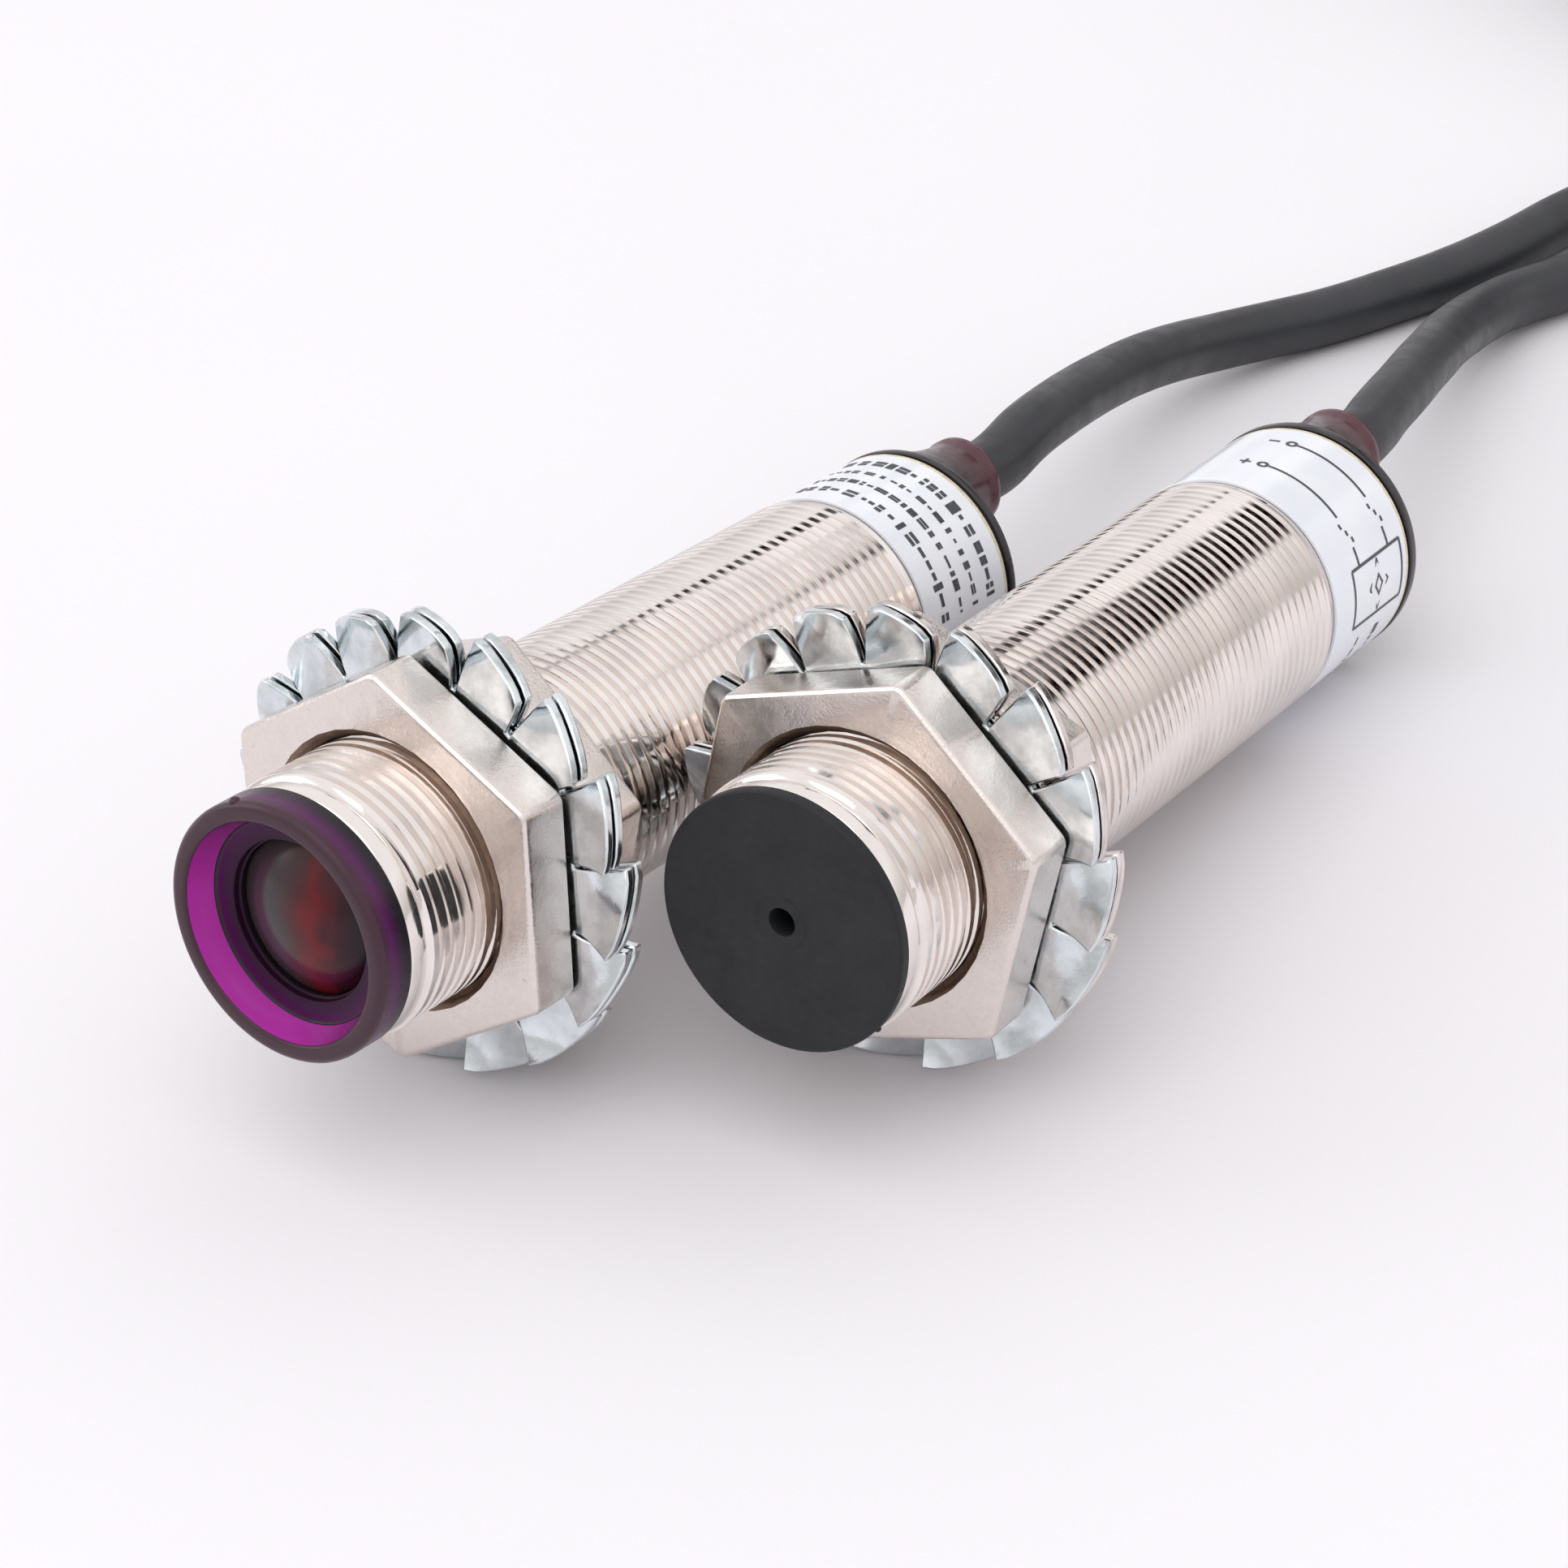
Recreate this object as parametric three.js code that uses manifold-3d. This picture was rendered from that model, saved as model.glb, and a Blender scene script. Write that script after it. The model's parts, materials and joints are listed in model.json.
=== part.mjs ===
// A through-beam photoelectric sensor pair in M18 x 1 threaded barrels: a laser emitter and its
// receiver, lying side by side. Each unit has two thin hexagon nuts, two external-tooth lock
// washers, a wrap label, an off-centre cable exit with a tapered strain relief, the optics and
// electronics that it needs inside, and 1.5 m of cable wound into a tied coil.
//
// Millimetres, +Z up. The surface that the pair lies on is z = 0. Each unit is built in its own
// frame, with its axis along +Y from the front face rearward, +X to the right and +Z up, and is
// then tilted, turned and placed as a group.

import * as THREE from 'three';
import { mergeVertices } from 'three/addons/utils/BufferGeometryUtils.js';
import Module from 'manifold-3d';

const wasm = await Module();
wasm.setup();

// ---- driving dimensions --------------------------------------------------------------------

const GAP = 0.3; // clearance between pieces that touch
const ROUND = 40; // sides of a turned piece
const SMALL_ROUND = 20; // sides of a small turned piece

const THREAD_R = 9; // M18
const BORE_R = 7.6;
const REAR_R = 8.4; // turned-down end under the label
const LABEL_T = 0.25;
const CHAMFER = 0.4;

const NUT_AF = 24; // across flats
const NUT_T = 4;
const HOLE_R = THREAD_R + GAP; // nuts and washers over the thread

const WASHER_T = 0.7;
const WASHER_RING_R = 12.4;
const WASHER_R = 15.85;
const WASHER_TEETH = 16;
const WASHER_TOOTH_FILL = 0.74; // share of the tooth pitch that is tooth

const CAP_R = 8.85;
const PLUG_R = BORE_R - GAP;
const FRONT_PLUG_L = 4.5;
const REAR_PLUG_L = 5;

const EXIT_OFFSET = 4.3; // cable exit from the unit's axis
const RELIEF_BASE_R = 4.4;
const RELIEF_END_R = 3.4;
const RELIEF_L = 6.2;

const CABLE_R = 2.4;
const FLOOR_LIFT = 0.05;
const EXIT_STRAIGHT = 4;
const CABLE_SIDES = 10;
const CABLE_STEPS = 20;
const COIL_MEAN_R = 24;
const COIL_COLUMNS = 2;
const COIL_LAYERS = 5;
const COIL_OUTER_R = COIL_MEAN_R + COIL_COLUMNS * CABLE_R;
const COIL_INNER_R = COIL_MEAN_R - COIL_COLUMNS * CABLE_R;
const COIL_H = 2 * CABLE_R * COIL_LAYERS + 2 * FLOOR_LIFT;
const TIE_W = 4;
const TIE_T = 0.9;
const LEAD_R = 0.65;

// ---- the two units -------------------------------------------------------------------------

// Distances named s are measured along the axis from the front face. The front end rests on the
// washers' teeth and the rear end on the cap's flange, which sets each unit's tilt.

const EMITTER = {
  name: 'emitter',
  x: 13.08,
  y: -29.9,
  heading: 0,
  barrelStart: 0.9,
  nutStart: 8.5,
  labelStart: 57.4,
  labelEnd: 69.4,
  flangeEnd: 70.6,
  nutRolls: [18, 38],
  exitAngle: 105,
  cableRoute: [
    [11.3, 55.6, 11.4],
    [10.5, 60.6, 10.7],
    [9.3, 65.9, 9.6],
    [8.0, 71.3, 8.2],
    [6.6, 76.7, 6.7],
    [5.6, 82.1, 5.2],
    [4.9, 87.3, 3.8],
    [5.2, 92.3, 2.9],
    [7.1, 97.3, 2.5],
    [10.0, 102.8, 2.45],
    [13.6, 109.4, 2.45],
    [17.2, 117.0, 2.45],
    [20.6, 125.4, 2.45],
    [23.8, 134.2, 2.45],
    [26.6, 143.4, 2.45],
    [28.8, 153.0, 2.45],
    [30.4, 163.2, 2.45],
    [31.2, 174.0, 2.45],
    [31.4, 186.0, 2.45],
    [31.4, 198.0, 2.45],
    [31.4, 210.0, 2.45],
    [31.4, 222.0, 2.45],
    [31.4, 233.0, 2.45],
    [31.4, 243.6, 2.45],
  ],
  coilCentre: [5.0, 243.6],
  leadAngle: 159,
  tieAngle: 280,
  leads: ['brown', 'blue'],
};

const RECEIVER = {
  name: 'receiver',
  x: -13.72,
  y: -46.35,
  heading: -2.5,
  barrelStart: 2.85,
  nutStart: 10.45,
  labelStart: 58.7,
  labelEnd: 69.4,
  flangeEnd: 70.4,
  nutRolls: [33, 20],
  exitAngle: 96,
  cableRoute: [
    [-10.8, 39.6, 12.0],
    [-11.5, 45.1, 11.1],
    [-12.3, 50.1, 9.9],
    [-13.0, 55.6, 8.5],
    [-13.4, 61.4, 7.0],
    [-13.3, 67.3, 5.4],
    [-12.4, 73.1, 3.9],
    [-10.5, 78.6, 2.9],
    [-7.7, 83.8, 2.45],
    [-4.6, 89.5, 2.45],
    [-1.8, 95.5, 2.45],
    [0.4, 102.1, 2.45],
    [2.1, 109.1, 2.45],
    [4.6, 116.4, 2.45],
    [8.2, 124.6, 2.45],
    [12.4, 133.2, 2.45],
    [16.7, 142.0, 2.45],
    [20.6, 151.4, 2.45],
    [23.7, 161.2, 2.45],
    [25.6, 171.0, 2.45],
    [26.2, 178.4, 2.45],
    [26.2, 185.0, 2.45],
  ],
  coilCentre: [-0.2, 185.0],
  leadAngle: 267,
  tieAngle: 60,
  leads: ['brown', 'blue', 'black'],
};

// ---- materials -----------------------------------------------------------------------------

function finish(color, roughness, metalness) {
  return () => new THREE.MeshStandardMaterial({ color, roughness, metalness });
}

const nickelThread = finish('#cfc4bb', 0.25, 1);
const nickelCast = finish('#b9aaa0', 0.45, 1);
const zinc = finish('#bcc4c8', 0.3, 1);
const blackPlastic = finish('#2b2c2e', 0.6, 0);
const darkRedPlastic = finish('#3a1d27', 0.3, 0);
const purplePlastic = finish('#5b2058', 0.2, 0);
const lensRed = finish('#5a1420', 0.08, 0);
const whiteLabel = finish('#eceff4', 0.3, 0);
const pvc = finish('#303236', 0.5, 0);
const board = finish('#1e6b43', 0.45, 0);
const epoxy = finish('#1b1c1e', 0.4, 0);
const brass = finish('#b8924a', 0.3, 1);
const steel = finish('#a9a9ab', 0.3, 1);
const clearLens = finish('#dfe6ea', 0.05, 0);
const redLed = finish('#c43a35', 0.2, 0);
const aluminiumCan = finish('#b8bbc0', 0.35, 1);
const nylon = finish('#e4e2da', 0.5, 0);
const leadFinish = {
  brown: finish('#6b3f24', 0.5, 0),
  blue: finish('#2455a8', 0.5, 0),
  black: finish('#1f2022', 0.5, 0),
};

// ---- shape helpers -------------------------------------------------------------------------

const radians = THREE.MathUtils.degToRad;

// A turned piece about the Y axis. The profile lists [radius, s] along the outside from front to
// rear and, on a ring, back along the inside.
function turned(profile, sides = ROUND) {
  const onAxis = profile[0][0] === 0;
  const loop = onAxis ? profile : [...profile, profile[0]];
  const points = loop.map(([r, s]) => new THREE.Vector2(r, s));
  return new THREE.LatheGeometry(points, sides);
}

function disc(radius, start, end, sides = ROUND) {
  return turned([[0, start], [radius, start], [radius, end], [0, end]], sides);
}

function tubeRing(outer, inner, start, end, sides = ROUND) {
  return turned([[outer, start], [outer, end], [inner, end], [inner, start]], sides);
}

// A flat outline in the unit's cross-section, given a thickness along the axis.
function plate(shape, start, thickness) {
  const geometry = new THREE.ExtrudeGeometry(shape, {
    depth: thickness,
    bevelEnabled: false,
    curveSegments: ROUND / 2,
  });
  geometry.rotateX(Math.PI / 2);
  geometry.translate(0, start + thickness, 0);
  return geometry;
}

function block(width, length, height, x, s, z) {
  const geometry = new THREE.BoxGeometry(width, length, height);
  geometry.translate(x, s + length / 2, z);
  return geometry;
}

function roundHole(shape, radius) {
  const hole = new THREE.Path();
  hole.absarc(0, 0, radius, 0, 2 * Math.PI, true);
  shape.holes.push(hole);
  return shape;
}

function solid(geometry) {
  const bare = geometry.clone();
  bare.deleteAttribute('normal');
  bare.deleteAttribute('uv');
  const merged = mergeVertices(bare);
  return new wasm.Manifold(new wasm.Mesh({
    numProp: 3,
    vertProperties: Float32Array.from(merged.attributes.position.array),
    triVerts: Uint32Array.from(merged.index.array),
  }));
}

function fromSolid(body) {
  const mesh = body.getMesh();
  const geometry = new THREE.BufferGeometry();
  geometry.setAttribute('position', new THREE.BufferAttribute(mesh.vertProperties, 3));
  geometry.setIndex(new THREE.BufferAttribute(mesh.triVerts, 1));
  geometry.computeVertexNormals();
  return geometry;
}

function pipe(points, radius, sides, steps) {
  const circle = new THREE.Shape();
  circle.absarc(0, 0, radius, 0, 2 * Math.PI);
  const path = new THREE.CatmullRomCurve3(points.map((p) => new THREE.Vector3(...p)));
  return new THREE.ExtrudeGeometry(circle, { steps, extrudePath: path, curveSegments: sides });
}

function add(group, name, geometry, material) {
  const mesh = new THREE.Mesh(geometry, material());
  mesh.name = name;
  group.add(mesh);
}

// ---- threaded barrel, nuts and washers -----------------------------------------------------

function barrel(unit) {
  return turned([
    [THREAD_R - CHAMFER, unit.barrelStart],
    [THREAD_R, unit.barrelStart + CHAMFER],
    [THREAD_R, unit.labelStart],
    [REAR_R, unit.labelStart],
    [REAR_R, unit.labelEnd],
    [BORE_R, unit.labelEnd],
    [BORE_R, unit.barrelStart],
  ]);
}

function nut(start, rollDegrees) {
  const cornerR = NUT_AF / Math.sqrt(3);
  const outline = new THREE.Shape();
  for (let corner = 0; corner < 6; corner += 1) {
    const angle = (corner * Math.PI) / 3;
    const point = [cornerR * Math.cos(angle), cornerR * Math.sin(angle)];
    if (corner === 0) outline.moveTo(...point);
    else outline.lineTo(...point);
  }
  outline.closePath();
  const geometry = plate(roundHole(outline, HOLE_R), start, NUT_T);
  geometry.rotateY(-radians(rollDegrees));
  return geometry;
}

function toothedWasher(start) {
  const pitch = (2 * Math.PI) / WASHER_TEETH;
  const half = (pitch * WASHER_TOOTH_FILL) / 2;
  const outline = new THREE.Shape();
  for (let tooth = 0; tooth < WASHER_TEETH; tooth += 1) {
    const middle = tooth * pitch - Math.PI / 2;
    const corners = [
      [WASHER_RING_R, middle - half],
      [WASHER_R, middle - half],
      [WASHER_R, middle],
      [WASHER_R, middle + half],
      [WASHER_RING_R, middle + half],
    ];
    corners.forEach(([r, angle], index) => {
      const point = [r * Math.cos(angle), r * Math.sin(angle)];
      if (tooth === 0 && index === 0) outline.moveTo(...point);
      else outline.lineTo(...point);
    });
  }
  outline.closePath();
  return plate(roundHole(outline, HOLE_R), start, WASHER_T);
}

function addClamping(group, unit) {
  const frontWasher = unit.nutStart + NUT_T + GAP;
  const rearWasher = frontWasher + WASHER_T + GAP;
  const rearNut = rearWasher + WASHER_T + GAP;
  const [frontRoll, rearRoll] = unit.nutRolls;
  add(group, `${unit.name}_front_nut`, nut(unit.nutStart, frontRoll), nickelCast);
  add(group, `${unit.name}_front_lock_washer`, toothedWasher(frontWasher), zinc);
  add(group, `${unit.name}_rear_lock_washer`, toothedWasher(rearWasher), zinc);
  add(group, `${unit.name}_rear_nut`, nut(rearNut, rearRoll), nickelCast);
}

// ---- rear end: label, cap and strain relief ------------------------------------------------

function label(unit) {
  const inner = REAR_R + GAP;
  return tubeRing(inner + LABEL_T, inner, unit.labelStart + GAP, unit.labelEnd - GAP);
}

function rearCap(unit) {
  const flangeStart = unit.labelEnd + GAP;
  return turned([
    [0, unit.labelEnd - REAR_PLUG_L],
    [PLUG_R, unit.labelEnd - REAR_PLUG_L],
    [PLUG_R, flangeStart],
    [THREAD_R, flangeStart],
    [THREAD_R, unit.flangeEnd],
    [0, unit.flangeEnd],
  ]);
}

function exitCentre(unit, s) {
  const angle = radians(unit.exitAngle);
  return new THREE.Vector3(EXIT_OFFSET * Math.cos(angle), s, EXIT_OFFSET * Math.sin(angle));
}

function strainRelief(unit) {
  const start = unit.flangeEnd + GAP;
  const shoulder = 1.2;
  const geometry = turned([
    [0, start],
    [RELIEF_BASE_R, start],
    [RELIEF_BASE_R - CHAMFER, start + shoulder],
    [RELIEF_END_R, start + RELIEF_L],
    [0, start + RELIEF_L],
  ], SMALL_ROUND);
  const centre = exitCentre(unit, 0);
  geometry.translate(centre.x, 0, centre.z);
  return geometry;
}

function addRearEnd(group, unit) {
  add(group, `${unit.name}_wrap_label`, label(unit), whiteLabel);
  add(group, `${unit.name}_rear_cap`, rearCap(unit), darkRedPlastic);
  add(group, `${unit.name}_strain_relief`, strainRelief(unit), darkRedPlastic);
}

// ---- emitter: front cap and laser module ---------------------------------------------------

const PINHOLE_R = 0.95;
const LASER_TUBE_R = 4.5;
const LASER_BORE_R = 3.6;
const LASER_START = 6;
const LASER_L = 15;

function frontCap(unit) {
  const faceEnd = unit.barrelStart - GAP;
  return turned([
    [CAP_R, 0],
    [CAP_R, faceEnd],
    [PLUG_R, faceEnd],
    [PLUG_R, faceEnd + FRONT_PLUG_L],
    [PINHOLE_R, faceEnd + FRONT_PLUG_L],
    [PINHOLE_R, 0],
  ]);
}

function addLaserModule(group) {
  const end = LASER_START + LASER_L;
  const lip = 1;
  const lensStart = LASER_START + lip + GAP;
  const lensEnd = lensStart + 2;
  const innerR = LASER_BORE_R - GAP;
  add(group, 'emitter_laser_tube', turned([
    [LASER_TUBE_R, LASER_START],
    [LASER_TUBE_R, end],
    [LASER_BORE_R, end],
    [LASER_BORE_R, LASER_START + lip],
    [PINHOLE_R * 2, LASER_START + lip],
    [PINHOLE_R * 2, LASER_START],
  ], SMALL_ROUND), brass);
  add(group, 'emitter_module_holder',
    tubeRing(PLUG_R, LASER_TUBE_R + GAP, LASER_START + 2, end - 2, SMALL_ROUND), blackPlastic);
  add(group, 'emitter_collimating_lens', turned([
    [0, lensStart],
    [innerR, lensStart],
    [innerR, lensEnd - 0.8],
    [innerR * 0.7, lensEnd - 0.2],
    [0, lensEnd],
  ], SMALL_ROUND), clearLens);
  add(group, 'emitter_lens_retainer',
    tubeRing(innerR, 2.2, lensEnd + GAP, lensEnd + 1.8, SMALL_ROUND), brass);
  add(group, 'emitter_laser_diode', turned([
    [0, end - 6],
    [2.3, end - 6],
    [2.3, end - 2.6],
    [innerR - 0.4, end - 2.6],
    [innerR - 0.4, end - 1.4],
    [0, end - 1.4],
  ], SMALL_ROUND), steel);
}

function addEmitterBoard(group, unit) {
  const start = LASER_START + LASER_L + 1;
  const length = 40;
  const thickness = 1.2;
  const top = thickness / 2 + GAP;
  add(group, 'emitter_circuit_board', block(12.5, length, thickness, 0, start, 0), board);
  add(group, 'emitter_driver_chip', block(5, 6.2, 1.6, 0, start + 4, top + 0.8), epoxy);
  add(group, 'emitter_protection_diode', block(2.6, 4.4, 2.1, 3.6, start + 14, top + 1.05), epoxy);
  add(group, 'emitter_power_transistor', block(6.4, 6, 2.3, -1.5, start + 21, top + 1.15), epoxy);
  const can = disc(2.1, start + 30, start + 36, SMALL_ROUND);
  can.translate(-2, 0, top + 2.1);
  add(group, 'emitter_capacitor', can, aluminiumCan);
  add(group, 'emitter_indicator_led', indicator(unit), redLed);
}

// The indicator sits opposite the cable exit, behind the translucent rear cap.
function indicator(unit) {
  const end = unit.labelEnd - REAR_PLUG_L - GAP;
  const geometry = turned([
    [0, end - 4.5],
    [1.5, end - 4.5],
    [1.5, end - 1.2],
    [1.1, end - 0.4],
    [0, end],
  ], SMALL_ROUND);
  const centre = exitCentre(unit, 0);
  geometry.translate(-centre.x, 0, -centre.z);
  return geometry;
}

// ---- receiver: lens cup and detector -------------------------------------------------------

const CUP_BORE_R = 7.75;
const CUP_DEPTH = 3.1;
const LENS_R = 5.3;
const LENS_SAG = 1.8;

function lensCup(unit) {
  const seat = LENS_R + GAP;
  const faceEnd = unit.barrelStart - GAP;
  return turned([
    [CAP_R - CHAMFER, 0],
    [CAP_R, CHAMFER],
    [CAP_R, faceEnd],
    [PLUG_R, faceEnd],
    [PLUG_R, faceEnd + FRONT_PLUG_L],
    [seat - 1, faceEnd + FRONT_PLUG_L],
    [seat - 1, CUP_DEPTH + 2],
    [seat, CUP_DEPTH + 2],
    [seat, CUP_DEPTH],
    [PLUG_R - 0.2, CUP_DEPTH],
    [CUP_BORE_R, CUP_DEPTH - 0.5],
    [CUP_BORE_R, 0],
  ]);
}

function frontLens() {
  const sphereR = (LENS_R ** 2 + LENS_SAG ** 2) / (2 * LENS_SAG);
  const rings = 5;
  const apex = CUP_DEPTH - LENS_SAG;
  const profile = [];
  for (let ring = 0; ring <= rings; ring += 1) {
    const r = (LENS_R * ring) / rings;
    profile.push([r, apex + sphereR - Math.sqrt(sphereR ** 2 - r ** 2)]);
  }
  const back = CUP_DEPTH + 2 - GAP;
  profile.push([LENS_R, back], [0, back]);
  return turned(profile);
}

function addDetector(group, unit) {
  const start = unit.barrelStart + FRONT_PLUG_L + 1.6;
  const tubeL = 12;
  const end = start + tubeL;
  const boardStart = end + 0.6;
  add(group, 'receiver_light_baffle', turned([
    [PLUG_R, start],
    [4.6, end],
    [3.6, end],
    [PLUG_R - 1, start],
  ], SMALL_ROUND), blackPlastic);
  add(group, 'receiver_photodiode',
    block(4.2, 1.5, 4.2, 0, boardStart - 1.5 - 0.05, 0), epoxy);
  add(group, 'receiver_sensor_board',
    disc(PLUG_R, boardStart + 0.25, boardStart + 1.45, SMALL_ROUND), board);
  return boardStart + 1.45;
}

function addReceiverBoard(group, unit, behind) {
  const start = behind + 1;
  const length = 34;
  const thickness = 1.2;
  const top = thickness / 2 + GAP;
  add(group, 'receiver_circuit_board', block(12.5, length, thickness, 0, start, 0), board);
  add(group, 'receiver_amplifier_chip', block(4, 5, 1.5, 0, start + 4, top + 0.75), epoxy);
  add(group, 'receiver_shield_can', block(8, 8, 2.6, 0, start + 11, top + 1.3), steel);
  add(group, 'receiver_output_transistor', block(6.4, 6, 2.3, 1.5, start + 21, top + 1.15), epoxy);
  add(group, 'receiver_trimmer', block(3.2, 3.2, 1.8, -4, start + 21, top + 0.9), nylon);
  const can = disc(1.9, start + 28.5, start + 33, SMALL_ROUND);
  can.translate(2.5, 0, top + 1.9);
  add(group, 'receiver_capacitor', can, aluminiumCan);
  add(group, 'receiver_indicator_led', indicator(unit), redLed);
}

// ---- seals and unit assembly ---------------------------------------------------------------

function sealRing(unit, s) {
  const wire = 0.5;
  const groove = BORE_R - GAP - wire;
  return tubeRing(groove + wire, groove - wire, s, s + 2 * wire, SMALL_ROUND);
}

function unitGroup(unit) {
  const lowestWasher = unit.nutStart + NUT_T + 2 * (GAP + WASHER_T);
  const tilt = Math.atan((WASHER_R - THREAD_R) / (unit.flangeEnd - lowestWasher));
  const height = WASHER_R * Math.cos(tilt) + lowestWasher * Math.sin(tilt);
  const group = new THREE.Group();
  group.position.set(unit.x, unit.y, height);
  group.rotation.set(-tilt, 0, radians(unit.heading), 'ZXY');
  add(group, `${unit.name}_barrel`, barrel(unit), nickelThread);
  addClamping(group, unit);
  addRearEnd(group, unit);
  return group;
}

function emitterUnit() {
  const group = unitGroup(EMITTER);
  add(group, 'emitter_front_cap', frontCap(EMITTER), blackPlastic);
  addLaserModule(group);
  addEmitterBoard(group, EMITTER);
  return group;
}

function receiverUnit() {
  const group = unitGroup(RECEIVER);
  add(group, 'receiver_lens_cup', lensCup(RECEIVER), purplePlastic);
  add(group, 'receiver_front_lens', frontLens(), lensRed);
  const behind = addDetector(group, RECEIVER);
  addReceiverBoard(group, RECEIVER, behind);
  return group;
}

// ---- cables, coils, ties and flying leads --------------------------------------------------

function coilRing(clearance = 0) {
  const outer = COIL_OUTER_R + clearance;
  const inner = COIL_INNER_R - clearance;
  const top = COIL_H + clearance;
  const bottom = clearance === 0 ? 0 : -1;
  const ring = tubeRing(outer, inner, bottom, top, ROUND);
  ring.rotateX(Math.PI / 2);
  return ring;
}

// The free stretch leaves the strain relief along the unit's axis and ends against the coil.
function freeCable(unit, frame) {
  const start = unit.flangeEnd + RELIEF_L + 2 * GAP;
  const straight = [start, start + EXIT_STRAIGHT].map((s) => exitCentre(unit, s));
  const points = straight.map((point) => frame.localToWorld(point).toArray());
  points.push(...unit.cableRoute);
  const stretch = solid(pipe(points, CABLE_R, CABLE_SIDES, CABLE_STEPS));
  const ring = coilRing(GAP);
  ring.translate(...unit.coilCentre, 0);
  return fromSolid(stretch.subtract(solid(ring)));
}

// A tie strap over the coil's section, open at the foot where it passes under the cable.
function coilTie() {
  const inner = COIL_INNER_R - GAP;
  const outer = COIL_OUTER_R + GAP;
  const top = COIL_H + GAP;
  const outline = new THREE.Shape();
  outline.moveTo(inner - TIE_T, 0);
  outline.lineTo(inner, 0);
  outline.lineTo(inner, top);
  outline.lineTo(outer, top);
  outline.lineTo(outer, 0);
  outline.lineTo(outer + TIE_T, 0);
  outline.lineTo(outer + TIE_T, top + TIE_T);
  outline.lineTo(inner - TIE_T, top + TIE_T);
  outline.closePath();
  const geometry = new THREE.ExtrudeGeometry(outline, { depth: TIE_W, bevelEnabled: false });
  geometry.translate(0, 0, -TIE_W / 2);
  geometry.rotateX(Math.PI / 2);
  return geometry;
}

// One core of the cable's end, side by side with the others inside the coil and fanning inward.
function flyingLead(unit, index) {
  const sweep = 0.95 + 0.1 * index;
  const spacing = 2;
  const points = [];
  const lastStep = 4;
  for (let step = 0; step <= lastStep; step += 1) {
    const along = step / lastStep;
    const angle = radians(unit.leadAngle) + along * sweep;
    const r = COIL_INNER_R - spacing * (0.6 + index) - (2 + index) * along;
    points.push([r * Math.cos(angle), r * Math.sin(angle), LEAD_R + FLOOR_LIFT]);
  }
  return pipe(points, LEAD_R, 8, 6);
}

function addCable(root, unit, frame) {
  add(root, `${unit.name}_cable`, freeCable(unit, frame), pvc);
  const coil = new THREE.Group();
  coil.position.set(...unit.coilCentre, 0);
  root.add(coil);
  add(coil, `${unit.name}_cable_coil`, coilRing(), pvc);
  const tie = coilTie();
  tie.rotateZ(radians(unit.tieAngle));
  add(coil, `${unit.name}_coil_tie`, tie, nylon);
  unit.leads.forEach((colour, index) => {
    add(coil, `${unit.name}_lead_${colour}`, flyingLead(unit, index), leadFinish[colour]);
  });
}

const pair = new THREE.Group();
const units = [[EMITTER, emitterUnit()], [RECEIVER, receiverUnit()]];
for (const [unit, group] of units) {
  add(group, `${unit.name}_cap_seal`, sealRing(unit, unit.barrelStart + FRONT_PLUG_L), epoxy);
  pair.add(group);
  pair.updateMatrixWorld(true);
  addCable(pair, unit, group);
}

export default pair;
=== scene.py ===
"""Looks for a pair of M18 through-beam sensors, a laser emitter and its receiver, built around the
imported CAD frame. Lengths in the shape code are millimetres in a unit's own frame (x right, y along
the axis from the front face rearward, z up) unless a name ends in _m; MM turns them into metres."""

import json
import math
import random

import bmesh
import bpy
from mathutils import Matrix, Vector


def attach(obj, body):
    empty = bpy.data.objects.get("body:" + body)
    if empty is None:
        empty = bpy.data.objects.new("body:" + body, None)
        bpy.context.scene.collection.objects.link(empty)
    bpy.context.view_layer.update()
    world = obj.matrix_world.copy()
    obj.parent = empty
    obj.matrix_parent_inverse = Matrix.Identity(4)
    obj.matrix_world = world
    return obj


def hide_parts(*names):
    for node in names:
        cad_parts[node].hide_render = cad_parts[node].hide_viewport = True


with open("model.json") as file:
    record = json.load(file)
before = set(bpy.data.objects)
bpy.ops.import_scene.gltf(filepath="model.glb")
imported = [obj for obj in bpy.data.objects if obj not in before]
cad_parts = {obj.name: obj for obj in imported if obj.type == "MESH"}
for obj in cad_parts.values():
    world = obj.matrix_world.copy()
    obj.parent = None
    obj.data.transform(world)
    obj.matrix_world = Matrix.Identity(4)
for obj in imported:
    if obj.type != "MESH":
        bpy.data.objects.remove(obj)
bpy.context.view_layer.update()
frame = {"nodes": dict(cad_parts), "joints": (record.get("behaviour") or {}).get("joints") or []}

MM = 0.001
TAU = 2 * math.pi

# ---- camera ------------------------------------------------------------------------------------

CAMERA_TARGET_M = Vector((-0.00383, -0.00496, 0.008))
CAMERA_DISTANCE_M = 0.28596
CAMERA_AZIMUTH = math.radians(35.8)
CAMERA_ELEVATION = math.radians(33.2)
CAMERA_ROLL = math.radians(-4.31)
LENS_MM = 95.27
SENSOR_MM = 36


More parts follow.
